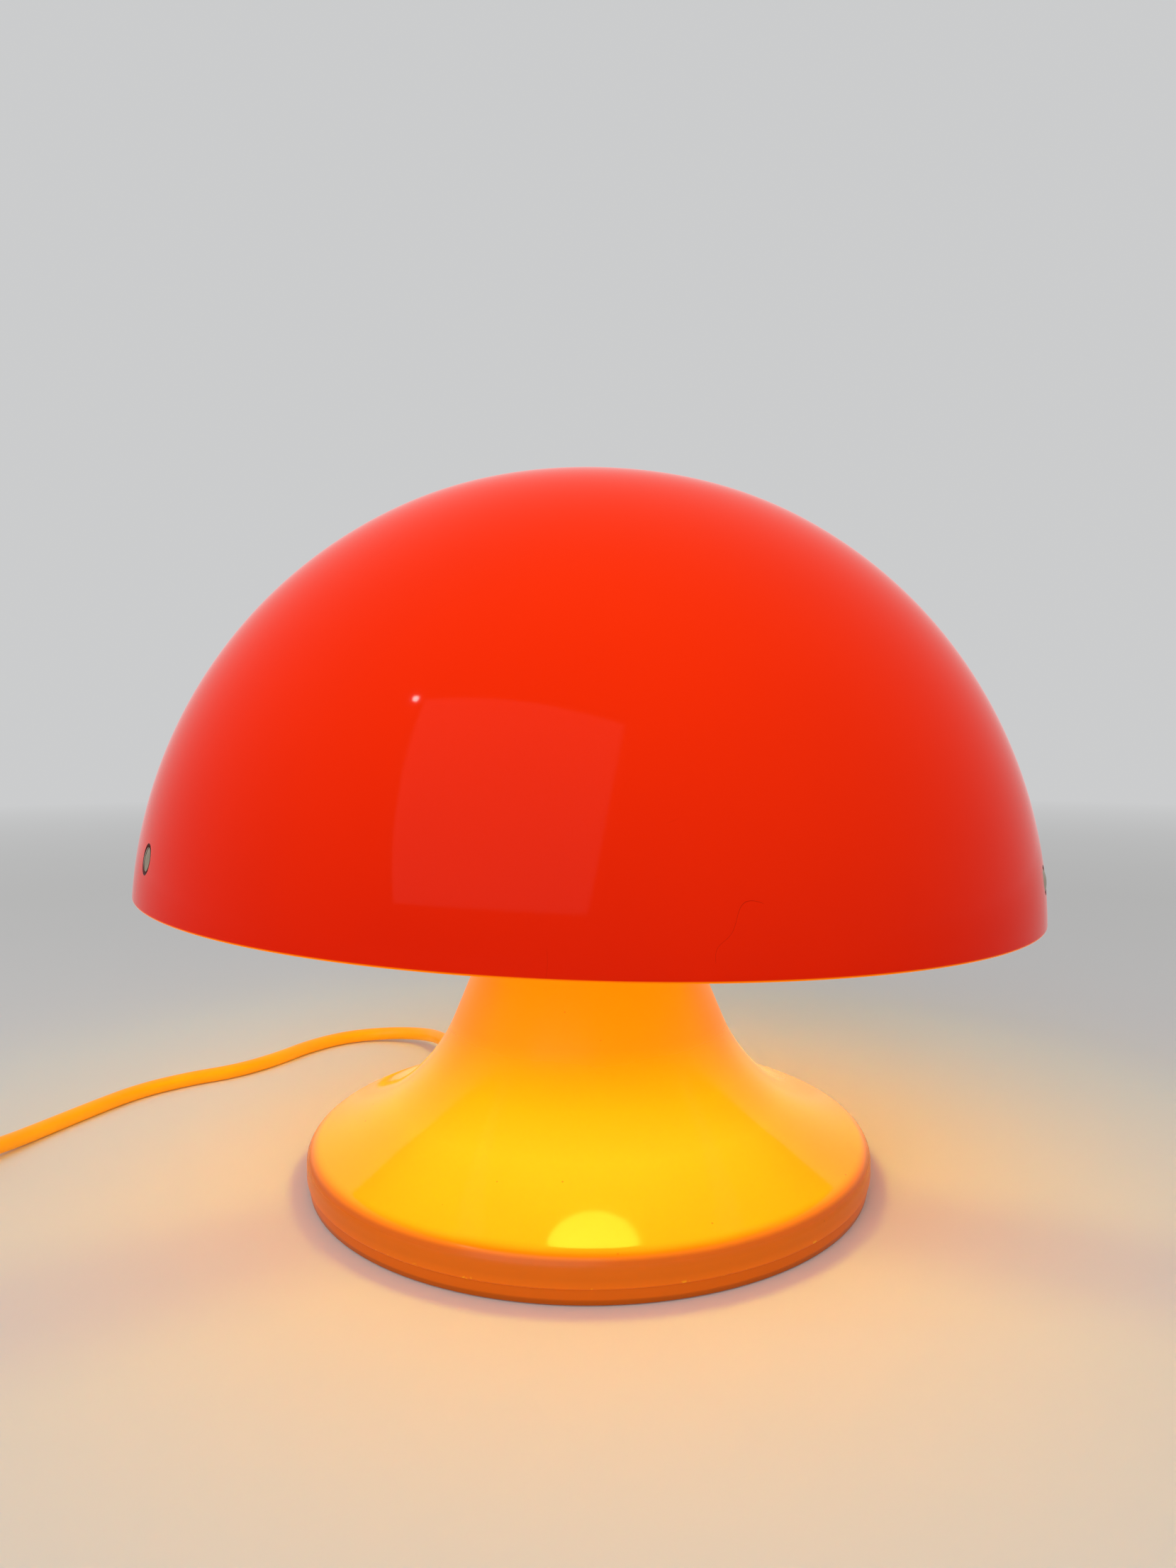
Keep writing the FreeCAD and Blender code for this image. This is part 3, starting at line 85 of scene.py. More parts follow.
def place(name, description, default):
    """Property of a point in metres."""
    return FloatVectorProperty(name=name, description=description, default=default,
                               subtype="TRANSLATION", size=3)


class LAMP_PG_dome(bpy.types.PropertyGroup):
    ball: length("Ball radius", "Outside of the ball that the dome is cut from", 0.150)
    wall: length("Wall", "Thickness of the acrylic", 0.003)
    rim: length("Rim height", "The dome's cut edge above the table", 0.1003)
    rise: length("Rim above equator", "How far above its widest place the ball is cut", 0.007)
    shoulder: length("Shoulder radius", "Where the dome flattens towards its crown", 0.130)
    shoulder_start: angle("Shoulder start", "Slope of the wall's normal", 60.0)
    shoulder_end: angle("Shoulder end", "Slope of the wall's normal", 75.0)
    lean: angle("Lean", "Of all that stands above the neck", 1.9)
    seat: length("Seat height", "Top of the neck", 0.084)
    screw_turn: angle("First screw", "Turn of the first rim screw from +X", 93.7)
    screw_rise: length("Screws above rim", "Height of the rim screws", 0.0145)
    screw_count: IntProperty(name="Screws", description="Rim screws", default=3)
    hole: length("Hole", "Radius of a screw's hole", 0.00225)
    sink: length("Countersink", "Radius of a hole's wide end", 0.0045)
    edge: length("Edge rounding", "Of the cut rim", 0.0004)
    glow: share("Glow", "Light that the acrylic lets out", 0.3)
    glow_inside: share("Glow inside", "Light that the acrylic spreads back", 0.1)


class LAMP_PG_base(bpy.types.PropertyGroup):
    edge: length("Radius", "Of the base's edge band", 0.0984)
    wall: length("Wall", "Thickness of the moulding", 0.003)
    lip: length("Lip height", "Lower edge of the shell", 0.0051)
    lip_round: length("Lip rounding", "Of the shell's lower edge", 0.0005)
    band_top: length("Band top", "Where the upright band starts to turn in", 0.0095)
    crease: length("Crease radius", "Between the band and the flare", 0.0057)
    slope: angle("Flare slope", "Of the flare next to the crease", 17.1)
    straight: length("Straight", "Between the crease's rounding and the flare's", 0.001)
    flare: length("Flare radius", "Of the flare, up to the sweep", 0.0959)
    sweep_slope: angle("Sweep slope", "Where the flare goes over into the sweep", 27.7)
    sweep: length("Sweep radius", "Of the sweep, up to the neck", 0.0630)
    neck: length("Neck radius", "At the seat", 0.0352)
    taper: angle("Neck taper", "Of the neck from upright", 22.5)
    neck_edge: length("Neck edge", "Rounding at the top of the neck", 0.003)
    bore: length("Bore", "Radius of the hole for the nipple", 0.00525)
    # Painted glow: the base gives light of its own colour, standing in for the lamp's light falling on
    # it.
    glow: share("Glow", "Light that the white plastic spreads", 0.28)


class LAMP_PG_bulb(bpy.types.PropertyGroup):
    tip: length("Tip height", "Of the contact under the cap", 0.1093)
    overall: length("Length", "From the contact to the top of the globe", 0.108)
    globe: length("Globe radius", "Of the glass", 0.031)
    neck: length("Neck radius", "Of the glass above the cap", 0.0132)
    foot: length("Foot radius", "Of the glass inside the cap", 0.01155)
    glass: length("Glass", "Wall of the globe", 0.001)
    cheek: angle("Cheek", "Where the globe turns into its neck", 42.0)
    bend: length("Bend", "Radius between cheek and neck", 0.016)
    cap_top: length("Cap top", "Where the glass narrows into its cap, above the contact", 0.026)
    narrowing: length("Narrowing", "Height over which the neck narrows to its foot", 0.002)
    tail: length("Tail", "Length of the foot inside the cap", 0.004)
    glow: FloatProperty(name="Glow", description="Light that the globe gives", default=17.0)


class LAMP_PG_lead(bpy.types.PropertyGroup):
    radius: length("Radius", "Of the flex", 0.003)
    coil_x: length("Coil X", "Middle of the coil", -0.303)
    coil_y: length("Coil Y", "Middle of the coil", -0.095)
    inner: length("Inner turn", "Radius of the tightest turn's centre line", 0.0248)
    pitch: length("Pitch", "From one turn to the next", 0.00645)
    low: length("Lower layer", "Height of the lower layer's centre line", 0.0038)
    turns_in: FloatProperty(name="Turns in", description="Turns of the lower layer", default=3.0)
    turns_out: FloatProperty(name="Turns out", description="Turns of the upper layer", default=3.25)
    start: angle("Coil start", "Turn at which the lead joins the coil", 270.0)


class LAMP_PG_finish_and_light(bpy.types.PropertyGroup):
    # Painted glow: the dome's colours go from bright at the crown to darker at the rim, as the bulb's
    # light falls through the acrylic.
    dome_crown: colour("Dome, crown", "Opal acrylic near the crown", (0.94, 0.031, 0.0))
    dome_side: colour("Dome, side", "Opal acrylic half way down", (0.80, 0.021, 0.0))
    dome_rim: colour("Dome, rim", "Opal acrylic near the rim", (0.60, 0.011, 0.0))
    dome_edge: colour("Dome, cut edge", "Light led to the cut edge", (1.0, 0.24, 0.0))
    dome_inside: colour("Dome, inside", "Lit side of the acrylic", (0.60, 0.16, 0.008))
    # Painted light: the base is white plastic, and these colours are the lamp's light on it, orange
    # under the dome, golden where the bulb shines on the flare, and darker in painted shade on the band
    # and tray.
    neck_top: colour("Base, under the dome", "Gloss plastic of the neck", (0.92, 0.33, 0.001))
    neck: colour("Base, neck", "Gloss plastic of the neck", (0.92, 0.355, 0.001))
    sweep: colour("Base, sweep", "Gloss plastic between neck and flare", (0.92, 0.52, 0.006))
    flare: colour("Base, flare", "Gloss plastic in the bulb's light", (0.92, 0.575, 0.014))
    flare_edge: colour("Base, flare edge", "Gloss plastic next to the crease", (0.92, 0.46, 0.009))
    crease: colour("Base, crease", "Where flare and band meet", (0.86, 0.24, 0.002))
    band: colour("Base, band", "Plastic of the edge band", (0.54, 0.110, 0.004))
    ring: colour("Base, tray", "Plastic of the tray under the shell", (0.54, 0.100, 0.003))
    # Painted light: the flex is pale plastic, and this golden orange is the lamp's light on it; the
    # switch and plug take the same colour.
    flex: colour("Flex", "Sheath of the lead", (0.95, 0.37, 0.001))
    bulb: colour("Bulb", "Opal glass, lit", (1.0, 0.97, 0.08))
    steel: colour("Steel", "Screws, nuts and washers", (0.55, 0.46, 0.34))
    floor: colour("Floor", "Table top of the studio", (0.72, 0.72, 0.715))


class LAMP_PG_stage(bpy.types.PropertyGroup):
    eye: place("Camera", "Place of the camera", (0.0, -0.366, 0.1522))
    pitch: FloatProperty(name="Pitch", description="Of the camera below the horizon",
                         default=0.0445, unit="ROTATION")
    roll: FloatProperty(name="Roll", description="Of the camera", default=-0.0017, unit="ROTATION")
    lens: FloatProperty(name="Lens", description="Focal length on a sensor 36 mm high",
                        default=23.598, unit="CAMERA")
    room: FloatProperty(name="Room light", description="Even light from all round", default=0.55)
    backdrop: colour("Backdrop", "Colour behind the lamp and of the floor far off",
                     (0.60, 0.605, 0.61))
    floor: length("Floor radius", "Of the round floor", 8.0)
    fade_from: length("Fade from", "Where the floor starts to turn into the backdrop", 0.8)
    fade_to: length("Fade to", "Where the floor has the backdrop's colour", 2.4)
    aim: length("Aim", "Height that both lamps point at", 0.1)
    key_place: place("Key place", "Of the large lamp, behind the camera", (-0.84, -2.10, 1.40))
    key_size: length("Key size", "Side of the large lamp", 2.2)
    key: FloatProperty(name="Key", description="Radiance of the large lamp", default=1.6)
    glint_place: place("Glint place", "Of the small lamp", (-1.49, -0.96, 2.02))
    glint_size: length("Glint size", "Side of the small lamp", 0.045)
    glint: FloatProperty(name="Glint", description="Radiance of the small lamp", default=150.0)


SETTINGS = {
    "lamp_dome": LAMP_PG_dome,
    "lamp_base": LAMP_PG_base,
    "lamp_bulb": LAMP_PG_bulb,
    "lamp_lead": LAMP_PG_lead,
    "lamp_finish": LAMP_PG_finish_and_light,
    "lamp_stage": LAMP_PG_stage,
}


# Surfaces

def once_round(columns):
    """Even angles once round, from +X."""
    return np.arange(columns) * TURN / columns


def unit(vectors):
    """Vectors of length 1 with the same ways."""
    return vectors / np.linalg.norm(vectors, axis=-1, keepdims=True)


def rounded(corners, radii, steps=8):
    """Open outline through corners of shape (count, ..., 2), each inner one rounded by its radius.

    With unit ways back and on along the corner's sides, half the angle between them h, and c the
    centre at corner + (back + on) / |back + on| * r / sin(h), the arc runs from
    corner + back * r / tan(h) to corner + on * r / tan(h). Its points are c plus the slerp of the
    two arms: (sin(s - t) * first + sin(t) * last) / sin(s), where s = pi - 2h and t goes from 0 to s.
    """
    lines = [corners[:1]]
    for before, corner, after, radius in zip(corners, corners[1:], corners[2:], radii):
        if radius == 0:
            lines.append(corner[None])
            continue
        back = unit(before - corner)
        on = unit(after - corner)
        half = np.arccos(np.clip((back * on).sum(-1, keepdims=True), -1, 1)) / 2
        centre = corner + unit(back + on) * radius / np.sin(half)
        first = corner + back * radius / np.tan(half) - centre
        last = corner + on * radius / np.tan(half) - centre
        sweep = math.pi - 2 * half
        part = np.linspace(0, 1, steps + 1).reshape((-1,) + (1,) * corner.ndim)
        slerp = np.sin((1 - part) * sweep) * first + np.sin(part * sweep) * last
        lines.append(centre + slerp / np.sin(sweep))
    lines.append(corners[-1:])
    return np.concatenate(lines)


def spun(outline, turns):
    """Outline (rows, 2) or (rows, turns, 2) of radius and height, turned about Z."""
    if outline.ndim == 2:
        outline = np.repeat(outline[:, None], len(turns), axis=1)
    radius = outline[..., 0]
    return np.stack([radius * np.cos(turns), radius * np.sin(turns), outline[..., 1]], -1)


def leaned(points, settings):
    """Points turned by the lean about +Y: x' = x cos + h sin, h' = h cos - x sin, above the seat."""
    x = points[..., 0]
    rise = points[..., 2] - settings.seat
    cos, sin = math.cos(settings.lean), math.sin(settings.lean)
    return np.stack([
        x * cos + rise * sin,
        points[..., 1],
        settings.seat + rise * cos - x * sin,
    ], -1)


def grid_faces(rows, columns, closed):
    """Quads of a grid: (i, j), (i, j + 1), (i + 1, j + 1), (i + 1, j), with j + 1 wrapped if closed."""
    i, j = np.meshgrid(np.arange(rows - 1), np.arange(columns if closed else columns - 1),
                       indexing="ij")
    on = (j + 1) % columns
    quads = np.stack([i * columns + j, i * columns + on, (i + 1) * columns + on,
                      (i + 1) * columns + j], -1)
    return quads.reshape(-1, 4)


MERGED = 2e-6       # points of one piece closer than this become one
SLIVER = 1e-7       # edges shorter than this are dissolved
SHARP_DEG = 35.0    # edges that turn by more than this are shaded sharp


def mesh_piece(name, parts, materials, body="root"):
    """Object of grids, each a tuple of points (rows, columns, 3), closed, material number and kept.

    kept is a mask of quads, or None for all of them. Shared edges are merged and normals turned out.
    """
    points = []
    faces = []
    slots = []
    count = 0
    for grid, closed, slot, kept in parts:
        quads = grid_faces(grid.shape[0], grid.shape[1], closed)
        if kept is not None:
            quads = quads[kept.ravel()]
        points.append(grid.reshape(-1, 3))
        faces.append(quads + count)
        slots.append(np.full(len(quads), slot))
        count += grid.shape[0] * grid.shape[1]
    mesh = bpy.data.meshes.new(name)
    mesh.from_pydata(np.concatenate(points), [], np.concatenate(faces))
    mesh.polygons.foreach_set("material_index", np.concatenate(slots).astype(np.int32))
    work = bmesh.new()
    work.from_mesh(mesh)
    bmesh.ops.remove_doubles(work, verts=work.verts, dist=MERGED)
    bmesh.ops.dissolve_degenerate(work, edges=work.edges, dist=SLIVER)
    loose = [vert for vert in work.verts if not vert.link_faces]
    bmesh.ops.delete(work, geom=loose, context="VERTS")
    bmesh.ops.recalc_face_normals(work, faces=work.faces)
    work.to_mesh(mesh)
    work.free()
    mesh.polygons.foreach_set("use_smooth", np.ones(len(mesh.polygons), bool))
    mesh.set_sharp_from_angle(angle=math.radians(SHARP_DEG))
    for material in materials:
        mesh.materials.append(material)
    piece = bpy.data.objects.new(name, mesh)
    bpy.context.scene.collection.objects.link(piece)
    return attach(piece, body)


# Dome

DOME_COLUMNS = 360
WINDOW_HALF = 4                      # quads from a screw to each side of its window
WINDOW_SLOPE = math.radians(3.6)     # from a screw to its window's upper and lower side
WINDOW_RINGS = 5                     # of quads, from a hole to its window's rim


def dome_wall(slopes, inset, dome):
    """Radius and height where the wall's normal rises by a slope: centre + (R - inset)(cos, sin).

    The centre and R are the ball's up to the shoulder, then the shoulder's, then the crown's. Each
    centre lies on the last normal of the stretch before, so that the stretches are tangent.
    """
    start, end = dome.shoulder_start, dome.shoulder_end
    ball_z = dome.rim - dome.rise
    off = dome.ball - dome.shoulder
    shoulder_r = off * math.cos(start)
    shoulder_z = ball_z + off * math.sin(start)
    drop = shoulder_r / math.cos(end)
    crown_z = shoulder_z - drop * math.sin(end)
    stretch = [slopes <= start, slopes <= end]
    radius = np.select(stretch, [dome.ball, dome.shoulder], dome.shoulder + drop) - inset
    centre_r = np.select(stretch, [0.0, shoulder_r], 0.0)
    centre_z = np.select(stretch, [ball_z, shoulder_z], crown_z)
    return np.stack([centre_r + radius * np.cos(slopes), centre_z + radius * np.sin(slopes)], -1)


def dome_rows(first, screw, dome):
    """Slopes of the rows, and the row of the screws.

    The stretches are rim to window, window round the screws, window to shoulder, shoulder, crown, and
    each has rows at even steps.
    """
    stops = [first, screw - WINDOW_SLOPE, screw + WINDOW_SLOPE, dome.shoulder_start,
             dome.shoulder_end, math.pi / 2]
    counts = [3, 2 * WINDOW_HALF, 34, 12, 12]
    rows = [np.linspace(a, b, n, endpoint=False) for a, b, n in zip(stops, stops[1:], counts)]
    return np.concatenate(rows + [np.array([math.pi / 2])]), counts[0] + WINDOW_HALF


def window_border(row, column):
    """Grid places round a window, once round from its lower right corner."""
    low, high = row - WINDOW_HALF, row + WINDOW_HALF
    left, right = column - WINDOW_HALF, column + WINDOW_HALF
    side = np.ones(2 * WINDOW_HALF, int)
    rows = [np.arange(low, high), high * side, np.arange(high, low, -1), low * side]
    turns = [right * side, np.arange(right, left, -1), left * side, np.arange(left, right)]
    return np.concatenate(rows), np.concatenate(turns) % DOME_COLUMNS


def around(centre, axes, bearing, depth, radius):
    """Circle about a screw's axis: centre + along depth + (across cos + over sin) radius."""
    along, across, over = axes
    side = np.cos(bearing)[:, None] * across + np.sin(bearing)[:, None] * over
    return centre + along * depth + side * radius


def screw_axes(turn, slope):
    """Unit vectors along a screw, across it and over it."""
    cos, sin = math.cos(turn), math.sin(turn)
    along = np.array([math.cos(slope) * cos, math.cos(slope) * sin, math.sin(slope)])
    across = np.array([-sin, cos, 0.0])
    return along, across, np.cross(along, across)


def window_patch(centre, axes, rim, hole, ball):
    """Rings of points from a hole to its window's rim, and the bearing of each column.

    Points go straight from the hole's circle to the rim and are pushed out to the ball.
    """
    offset = rim - centre
    bearing = np.arctan2(offset @ axes[2], offset @ axes[1])
    circle = around(centre, axes, bearing, math.sqrt(ball ** 2 - hole ** 2), hole)
    steps = np.linspace(0, 1, WINDOW_RINGS + 1)[:, None, None]
    return centre + unit(circle * (1 - steps) + rim * steps - centre) * ball, bearing


def hole_wall(centre, axes, bearing, dome):
    """A cone, then a cylinder: rings on the ball, at the countersink's foot, on the inner wall."""
    sink, hole = dome.sink, dome.hole
    depths = [math.sqrt(dome.ball ** 2 - sink ** 2), dome.ball - (sink - hole),
              math.sqrt((dome.ball - dome.wall) ** 2 - hole ** 2)]
    return np.stack([around(centre, axes, bearing, d, r) for d, r in zip(depths, (sink, hole, hole))])


def dome_parts(dome):
    """Outer wall, inner wall and rim, with a window in each wall round each screw.

    A window is closed by a ring of quads from its border to the screw's hole.
    """
    turns = dome.screw_turn + once_round(DOME_COLUMNS)
    screw_slope = math.asin((dome.rise + dome.screw_rise) / dome.ball)
    centre = np.array([0.0, 0.0, dome.rim - dome.rise])
    parts = []
    walls = []
    for slot, inset, hole in ((0, 0.0, dome.sink), (1, dome.wall, dome.hole)):
        ball = dome.ball - inset
        first = math.asin((dome.rise + 2 * dome.edge) / ball)
        slopes, row = dome_rows(first, screw_slope, dome)
        wall = spun(dome_wall(slopes, inset, dome), turns)
        walls.append(wall)
        kept = np.ones((len(slopes) - 1, DOME_COLUMNS), bool)
        for k in range(dome.screw_count):
            column = k * DOME_COLUMNS // dome.screw_count
            span = np.arange(column - WINDOW_HALF, column + WINDOW_HALF) % DOME_COLUMNS
            kept[row - WINDOW_HALF:row + WINDOW_HALF, span] = False
            axes = screw_axes(turns[column], screw_slope)
            patch, bearing = window_patch(centre, axes, wall[window_border(row, column)], hole, ball)
            parts.append((patch, True, slot, None))
            if inset == 0.0:
                parts.append((hole_wall(centre, axes, bearing, dome), True, 2, None))
        parts.append((wall, True, slot, kept))
    outer, inner = walls[0][0], walls[1][0]
    rim_corners = np.array([
        [np.linalg.norm(outer[0, :2]), outer[0, 2]],
        [math.sqrt(dome.ball ** 2 - dome.rise ** 2), dome.rim],
        [math.sqrt((dome.ball - dome.wall) ** 2 - dome.rise ** 2), dome.rim],
        [np.linalg.norm(inner[0, :2]), inner[0, 2]],
    ])
    parts.append((spun(rounded(rim_corners, [dome.edge, dome.edge], 4), turns), True, 0, None))
    return [(leaned(grid, dome), closed, slot, kept) for grid, closed, slot, kept in parts]


# Base

def base_corners(base, inset, seat, lean, turns):
    """Corners of the trumpet's outline at each turn, moved in by inset: crease, hip, knee, top, bore.

    The flare's line goes up at its slope from the end of the crease's arc to the hip, which is the
    straight plus (flare + inset) tan((sweep slope - slope) / 2) away. The sweep's line goes on from
    there at its own slope, and the neck's goes up at the taper through the neck's radius at the seat;
    the knee is where they meet. The seat is a plane that leans, so the neck ends at
    r = neck / (1 - cos(turn) tan(lean) tan(taper)).
    """
    slope, sweep, taper = (math.tan(turned) for turned in (base.slope, base.sweep_slope, base.taper))
    edge = base.edge - inset
    turn = base.crease - inset
    end_r = base.edge - base.crease + turn * math.sin(base.slope)
    end_z = base.band_top + turn * math.cos(base.slope)
    reach = base.straight + (base.flare + inset) * math.tan((base.sweep_slope - base.slope) / 2)
    hip_r = end_r - reach * math.cos(base.slope)
    hip_z = end_z + reach * math.sin(base.slope)
    neck = base.neck - inset / math.cos(base.taper)
    rise = hip_z + hip_r * sweep - seat
    knee_r = (neck - rise * taper) / (1 - taper * sweep)
    knee_z = hip_z + (hip_r - knee_r) * sweep
    fall = np.cos(turns) * math.tan(lean)
    level = seat - inset / math.cos(lean)
    top_r = (neck + (seat - level) * taper) / (1 - fall * taper)
    ones = np.ones_like(turns)
    crease = np.stack([edge * ones, (end_z - (edge - end_r) * slope) * ones], -1)
    hip = np.stack([hip_r * ones, hip_z * ones], -1)
    knee = np.stack([knee_r * ones, knee_z * ones], -1)
    top = np.stack([top_r, level - top_r * fall], -1)
    bore = np.stack([base.bore * ones, level - base.bore * fall], -1)
    return crease, hip, knee, top, bore


def base_grid(base, dome):
    """Outline of the shell once round: under the lip, outside, seat, bore, and back down inside."""
    turns = once_round(360)
    ones = np.ones_like(turns)
    outside = base_corners(base, 0.0, dome.seat, dome.lean, turns)
    inside = base_corners(base, base.wall, dome.seat, dome.lean, turns)
    foot_in = np.stack([(base.edge - base.wall) * ones, base.lip * ones], -1)
    foot = np.stack([base.edge * ones, base.lip * ones], -1)
    corners = np.stack([foot_in, foot, *outside, *reversed(inside), foot_in])
    radii = [base.lip_round, base.crease, base.flare, base.sweep, base.neck_edge, 0, 0, 0,
             base.sweep + base.wall, base.flare + base.wall, base.crease - base.wall]
    return spun(rounded(corners, radii, 24), turns)


# Bulb

def bulb_grid(bulb, dome, inset):
    """Globe, straight cheek, bend and neck of the glass, moved in by inset, from top to foot.

    The globe ends at the cheek's angle below its equator. The cheek goes on along its tangent there,
    for (the globe's last radius - the neck's) / sin(cheek), to where the neck's line meets it.
    """
    ball = bulb.globe - inset
    centre = bulb.tip + bulb.overall - bulb.globe
    round_part = np.linspace(math.pi / 2, -bulb.cheek, 40)
    globe = np.stack([ball * np.cos(round_part), centre + ball * np.sin(round_part)], -1)
    neck = bulb.neck - inset
    foot = bulb.tip + bulb.cap_top
    run = (globe[-1, 0] - neck) / math.sin(bulb.cheek)
    knee = globe[-1] - np.array([math.sin(bulb.cheek), math.cos(bulb.cheek)]) * run
    corners = np.array([
        globe[-1],
        knee,
        [neck, foot + bulb.narrowing],
        [bulb.foot - inset, foot],
        [bulb.foot - inset, foot - bulb.tail],
    ])
    line = rounded(corners, [bulb.bend, 0, 0], 12)
    turns = once_round(120)
    return leaned(spun(np.concatenate([globe, line[1:]]), turns), dome)


# Lead

def coil_route(lead):
    """Centre line of the coil: in from the outside, up a layer over half a turn, and out again.

    At turn t, radius = inner + pitch |t| and height = low + pitch (1 + sin(pi/2 clamp(4t))) / 2. The
    spline runs inside its control points, so their radius is divided by (3 + cos(step)) / 4.
    """
    per_turn = 24
    count = round((lead.turns_in + lead.turns_out) * per_turn) + 1
    turn = np.linspace(-lead.turns_in, lead.turns_out, count)
    radius = 4 * (lead.inner + lead.pitch * np.abs(turn)) / (3 + math.cos(TURN / per_turn))
    bearing = lead.start - TURN * (turn + lead.turns_in)
    climb = (1 + np.sin(math.pi / 2 * np.clip(4 * turn, -1, 1))) / 2
    return np.stack([
        lead.coil_x + radius * np.cos(bearing),
        lead.coil_y + radius * np.sin(bearing),
        lead.low + lead.pitch * climb,
    ], -1)


# Control points of the flex. At the gland and at both ends of the switch, the two end points lie on
# the fitting's axis, so that the flex leaves it straight.
LAMP_TO_SWITCH = [
    (-0.06245, 0.10817, 0.0086),
    (-0.06895, 0.11943, 0.0086),
    (-0.0800, 0.1380, 0.0058),
    (-0.0995, 0.1470, 0.0038),
    (-0.1205, 0.1430, 0.0031),
    (-0.1355, 0.1270, 0.0031),
    (-0.1450, 0.1075, 0.0031),
    (-0.1580, 0.0900, 0.0031),
    (-0.1760, 0.0790, 0.0031),
    (-0.1910, 0.0635, 0.0031),
    (-0.2000, 0.0440, 0.0031),
    (-0.2080, 0.0240, 0.0031),
    (-0.2145, 0.0030, 0.0040),
    (-0.22058, -0.01886, 0.0075),
    (-0.22350, -0.03153, 0.0075),
]
SWITCH_TO_COIL = [
    (-0.24150, -0.10947, 0.0075),
    (-0.24442, -0.12214, 0.0075),
    (-0.2545, -0.1340, 0.0060),
    (-0.2690, -0.1396, 0.0046),
    (-0.2840, -0.13925, 0.0038),
]
COIL_TO_PLUG = [
    (-0.34130, -0.05652, 0.01025),
    (-0.32950, -0.04950, 0.0068),
]


def flex_curve(name, route, radius, material):
    """Round flex along the quadratic spline whose control points are the route's."""
    curve = bpy.data.curves.new(name, "CURVE")
    curve.dimensions = "3D"
    spline = curve.splines.new("NURBS")
    spline.points.add(len(route) - 1)
    spline.points.foreach_set("co", np.column_stack([route, np.ones(len(route))]).ravel())
    spline.order_u = 3
    spline.use_endpoint_u = True
    curve.resolution_u = 6
    curve.bevel_depth = radius
    curve.bevel_resolution = 8
    curve.use_fill_caps = True
    curve.materials.append(material)
    piece = bpy.data.objects.new(name, curve)
    bpy.context.scene.collection.objects.link(piece)
    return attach(piece, "root")


# Finishes, with the lamp's light and shade painted on some of them

DOME_HEIGHT = 0.142    # from rim to crown, over which the acrylic's colour changes
BASE_HEIGHT = 0.090    # over which the places of the base's colours are shares


